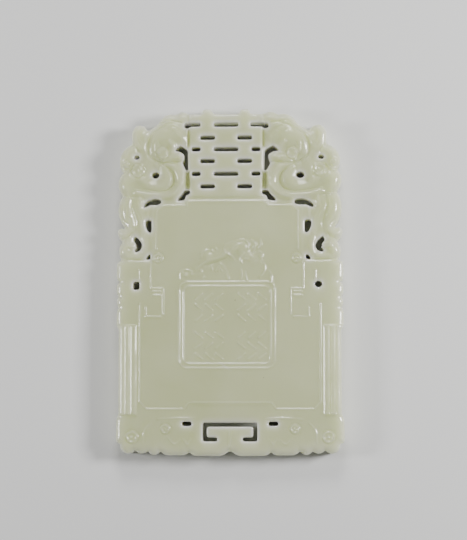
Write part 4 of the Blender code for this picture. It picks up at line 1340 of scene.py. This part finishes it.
@dataclass(frozen=True)
class JadeFinish:
    """Pale celadon nephrite: cloudy inside, waxy, polished, with a painted glow near the edge and on the
    walls of the openings.
    """

    name: str = "white_jade"
    body: tuple[float, ...] = (0.575, 0.61, 0.34, 1.0)
    cloud: tuple[float, ...] = (0.635, 0.665, 0.41, 1.0)
    # The colour of the painted glow near the edge and on the walls of the openings.
    edge: tuple[float, ...] = (0.95, 0.96, 0.84, 1.0)
    streak_colour: tuple[float, ...] = (0.74, 0.75, 0.64, 1.0)
    speck_colour: tuple[float, ...] = (0.20, 0.19, 0.12, 1.0)
    roughness: float = 0.15
    subsurface: float = 1.0
    subsurface_radius: tuple[float, float, float] = (1.0, 1.05, 0.8)
    subsurface_scale: float = 0.006
    cloud_scale: float = 75.0
    grain_scale: float = 900.0
    bump_distance: float = 0.00002
    streak: tuple[float, ...] = (-1.0, -17.1, 0.62, 1.9)
    streak_half: float = 0.35
    streak_depth: float = 20.0
    streak_core: float = 0.2
    streak_share: float = 0.55
    specks: tuple[Place, ...] = ((1.04, -3.75, 0.16), (6.77, -19.3, 0.14))
    speck_core: float = 0.3
    speck_share: float = 0.7
    face_level: float = 5.4
    edge_glow_share: float = 0.9
    grain_swing: float = 0.05
    hollow_roughness: float = 0.37
    bump_strength: float = 0.25
    refraction: float = 1.61

    def material(self, clouds: bpy.types.NodeTree) -> bpy.types.Material:
        """Builds the finish.

        Args:
            clouds: The shared group of clouds and grain.

        Returns:
            The material.
        """
        material = bpy.data.materials.new(self.name)
        material.use_nodes = True
        tree = material.node_tree
        tree.nodes.clear()
        write = NodeWriter(tree)
        group = write.add("ShaderNodeGroup", node_tree=clouds)
        group.inputs["Cloud scale"].default_value = self.cloud_scale
        group.inputs["Grain scale"].default_value = self.grain_scale
        painted_glow = write.add("ShaderNodeAttribute", attribute_name="painted_edge_glow").outputs["Fac"]
        hollow = write.add("ShaderNodeAttribute", attribute_name="hollow").outputs["Fac"]
        colour = write.mix(group.outputs["Cloud"], self.body, self.cloud)
        colour = write.mix(self.streak_mask(write), colour, self.streak_colour)
        # Painted glow: the colour is paled towards the edge colour near the edge and on the opening walls,
        # standing in for light shining through thin stone.
        colour = write.mix(write.math("MULTIPLY", painted_glow, self.edge_glow_share), colour, self.edge)
        for x, y, radius in self.specks:
            colour = write.mix(self.spot_mask(write, x, y, radius), colour, self.speck_colour)
        grain = write.span(group.outputs["Grain"], 0.0, 1.0, -self.grain_swing, self.grain_swing)
        dull = write.span(hollow, 0.0, 1.0, self.roughness, self.hollow_roughness)
        rough = write.math("ADD", grain, dull)
        bump = write.add("ShaderNodeBump", {
            "Height": group.outputs["Grain"], "Strength": self.bump_strength, "Distance": self.bump_distance,
        })
        shader = write.add("ShaderNodeBsdfPrincipled", {
            "Base Color": colour, "Roughness": rough, "Normal": bump.outputs["Normal"],
            "IOR": self.refraction, "Subsurface Weight": self.subsurface,
            "Subsurface Radius": self.subsurface_radius, "Subsurface Scale": self.subsurface_scale,
        })
        write.add("ShaderNodeOutputMaterial", {"Surface": shader.outputs["BSDF"]})
        return material

    def spot_mask(self, write: NodeWriter, x: float, y: float, radius: float) -> bpy.types.NodeSocket:
        """A soft round spot at a place on the face."""
        place = write.add("ShaderNodeTexCoord").outputs["Object"]
        centre = (x * MM, y * MM, self.face_level * MM)
        away = write.add("ShaderNodeVectorMath", {0: place, 1: centre}, operation="DISTANCE")
        core = self.speck_core * radius * MM
        return write.span(away.outputs["Value"], core, radius * MM, self.speck_share, 0.0)

    def streak_mask(self, write: NodeWriter) -> bpy.types.NodeSocket:
        """The pale slanting streak under the seal."""
        x, y, angle, length = self.streak
        place = write.add("ShaderNodeTexCoord").outputs["Object"]
        mapping = write.add("ShaderNodeMapping", {
            "Vector": place, "Location": (x * MM, y * MM, 0.0), "Rotation": (0.0, 0.0, -angle),
            "Scale": (length * MM, self.streak_half * MM, self.streak_depth * MM),
        }, vector_type="TEXTURE")
        away = write.add("ShaderNodeVectorMath", {0: mapping.outputs[0]}, operation="LENGTH")
        return write.span(away.outputs["Value"], self.streak_core, 1.0, self.streak_share, 0.0)


@dataclass(frozen=True)
class FloorFinish:
    """Plain pale matt paper."""

    name: str = "pale_floor"
    light: tuple[float, ...] = (0.87, 0.87, 0.86, 1.0)
    dark: tuple[float, ...] = (0.84, 0.84, 0.83, 1.0)
    cloud_scale: float = 4.0
    grain_scale: float = 700.0
    roughness: float = 0.9

    def material(self, clouds: bpy.types.NodeTree) -> bpy.types.Material:
        """Builds the finish with the shared group of clouds and grain."""
        material = bpy.data.materials.new(self.name)
        material.use_nodes = True
        material.node_tree.nodes.clear()
        write = NodeWriter(material.node_tree)
        group = write.add("ShaderNodeGroup", node_tree=clouds)
        group.inputs["Cloud scale"].default_value = self.cloud_scale
        group.inputs["Grain scale"].default_value = self.grain_scale
        colour = write.mix(group.outputs["Cloud"], self.dark, self.light)
        shader = write.add("ShaderNodeBsdfPrincipled", {"Base Color": colour, "Roughness": self.roughness})
        write.add("ShaderNodeOutputMaterial", {"Surface": shader.outputs["BSDF"]})
        return material


@dataclass
class Studio:
    """A pale floor, soft lights and the camera at the photograph's place."""

    camera_at: Place = (16.0, -24.0, 386.0)
    looks_at: Place = (0.73, 2.3, 5.5)
    view_angle: float = math.radians(16.2)
    floor_half: float = 1500.0
    floor_level: float = -0.02
    world: float = 0.125
    lights: tuple[tuple[str, Place, float, float], ...] = (
        ("right_softbox", (250.0, 40.0, 190.0), 75.0, 0.95),
        ("left_softbox", (-260.0, -10.0, 170.0), 60.0, 0.42),
        ("top_softbox", (0.0, 260.0, 230.0), 110.0, 0.5),
    )

    def build(self, clouds: bpy.types.NodeTree) -> None:
        """Sets up the floor, the lights, the surroundings and the camera."""
        self.floor(clouds)
        for name, place, size, power in self.lights:
            self.light(name, place, size, power)
        self.surroundings()
        self.camera()

    def floor(self, clouds: bpy.types.NodeTree) -> None:
        """A flat floor just under the plaque."""
        half, level = self.floor_half * MM, self.floor_level * MM
        mesh = bpy.data.meshes.new("floor")
        corners = [(-half, -half, level), (half, -half, level), (half, half, level), (-half, half, level)]
        mesh.from_pydata(corners, [], [(0, 1, 2, 3)])
        mesh.materials.append(FloorFinish().material(clouds))
        floor = bpy.data.objects.new("floor", mesh)
        bpy.context.scene.collection.objects.link(floor)

    def light(self, name: str, place: Place, size: float, power: float) -> None:
        """A square soft light that points at the plaque."""
        data = bpy.data.lights.new(name, "AREA")
        data.shape = "SQUARE"
        data.size = size * MM
        data.energy = power
        light = bpy.data.objects.new(name, data)
        light.location = [value * MM for value in place]
        light.rotation_euler = (-light.location).to_track_quat("-Z", "Y").to_euler()
        bpy.context.scene.collection.objects.link(light)

    def surroundings(self) -> None:
        """An even pale grey all round."""
        world = bpy.data.worlds.new("studio")
        world.use_nodes = True
        background = world.node_tree.nodes["Background"]
        background.inputs["Color"].default_value = (1.0, 1.0, 1.0, 1.0)
        background.inputs["Strength"].default_value = self.world
        bpy.context.scene.world = world

    def camera(self) -> None:
        """The camera, with the photograph's upright frame."""
        data = bpy.data.cameras.new("camera")
        data.sensor_fit = "VERTICAL"
        data.angle = self.view_angle
        data.clip_start = 0.01
        camera = bpy.data.objects.new("camera", data)
        place = Vector([value * MM for value in self.camera_at])
        back = (place - Vector([value * MM for value in self.looks_at])).normalized()
        right = Vector((0.0, 1.0, 0.0)).cross(back).normalized()
        turn = Matrix((right, back.cross(right), back)).transposed()
        camera.matrix_world = Matrix.Translation(place) @ turn.to_4x4()
        bpy.context.scene.collection.objects.link(camera)
        bpy.context.scene.camera = camera


def main() -> None:
    """Builds the pendant, its finish and the studio, and reports each piece."""
    logging.basicConfig(level=logging.INFO, format="%(name)s: %(message)s")
    for obj in list(bpy.data.objects):
        bpy.data.objects.remove(obj, do_unlink=True)
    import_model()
    low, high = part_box(NODE)
    plaque = Plaque((high.x - low.x) / 2 / MM, (high.y - low.y) / 2 / MM, (high.z - low.z) / MM)
    plaque.carve()
    pendant = plaque.build()
    log.info("built the pendant: %d triangles", len(pendant.data.polygons))
    clouds = cloud_group()
    pendant.data.materials.append(JadeFinish().material(clouds))
    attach(pendant, BODY)
    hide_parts(NODE)
    Studio().build(clouds)
    log.info("set up the studio")


if __name__ == "__main__":
    main()
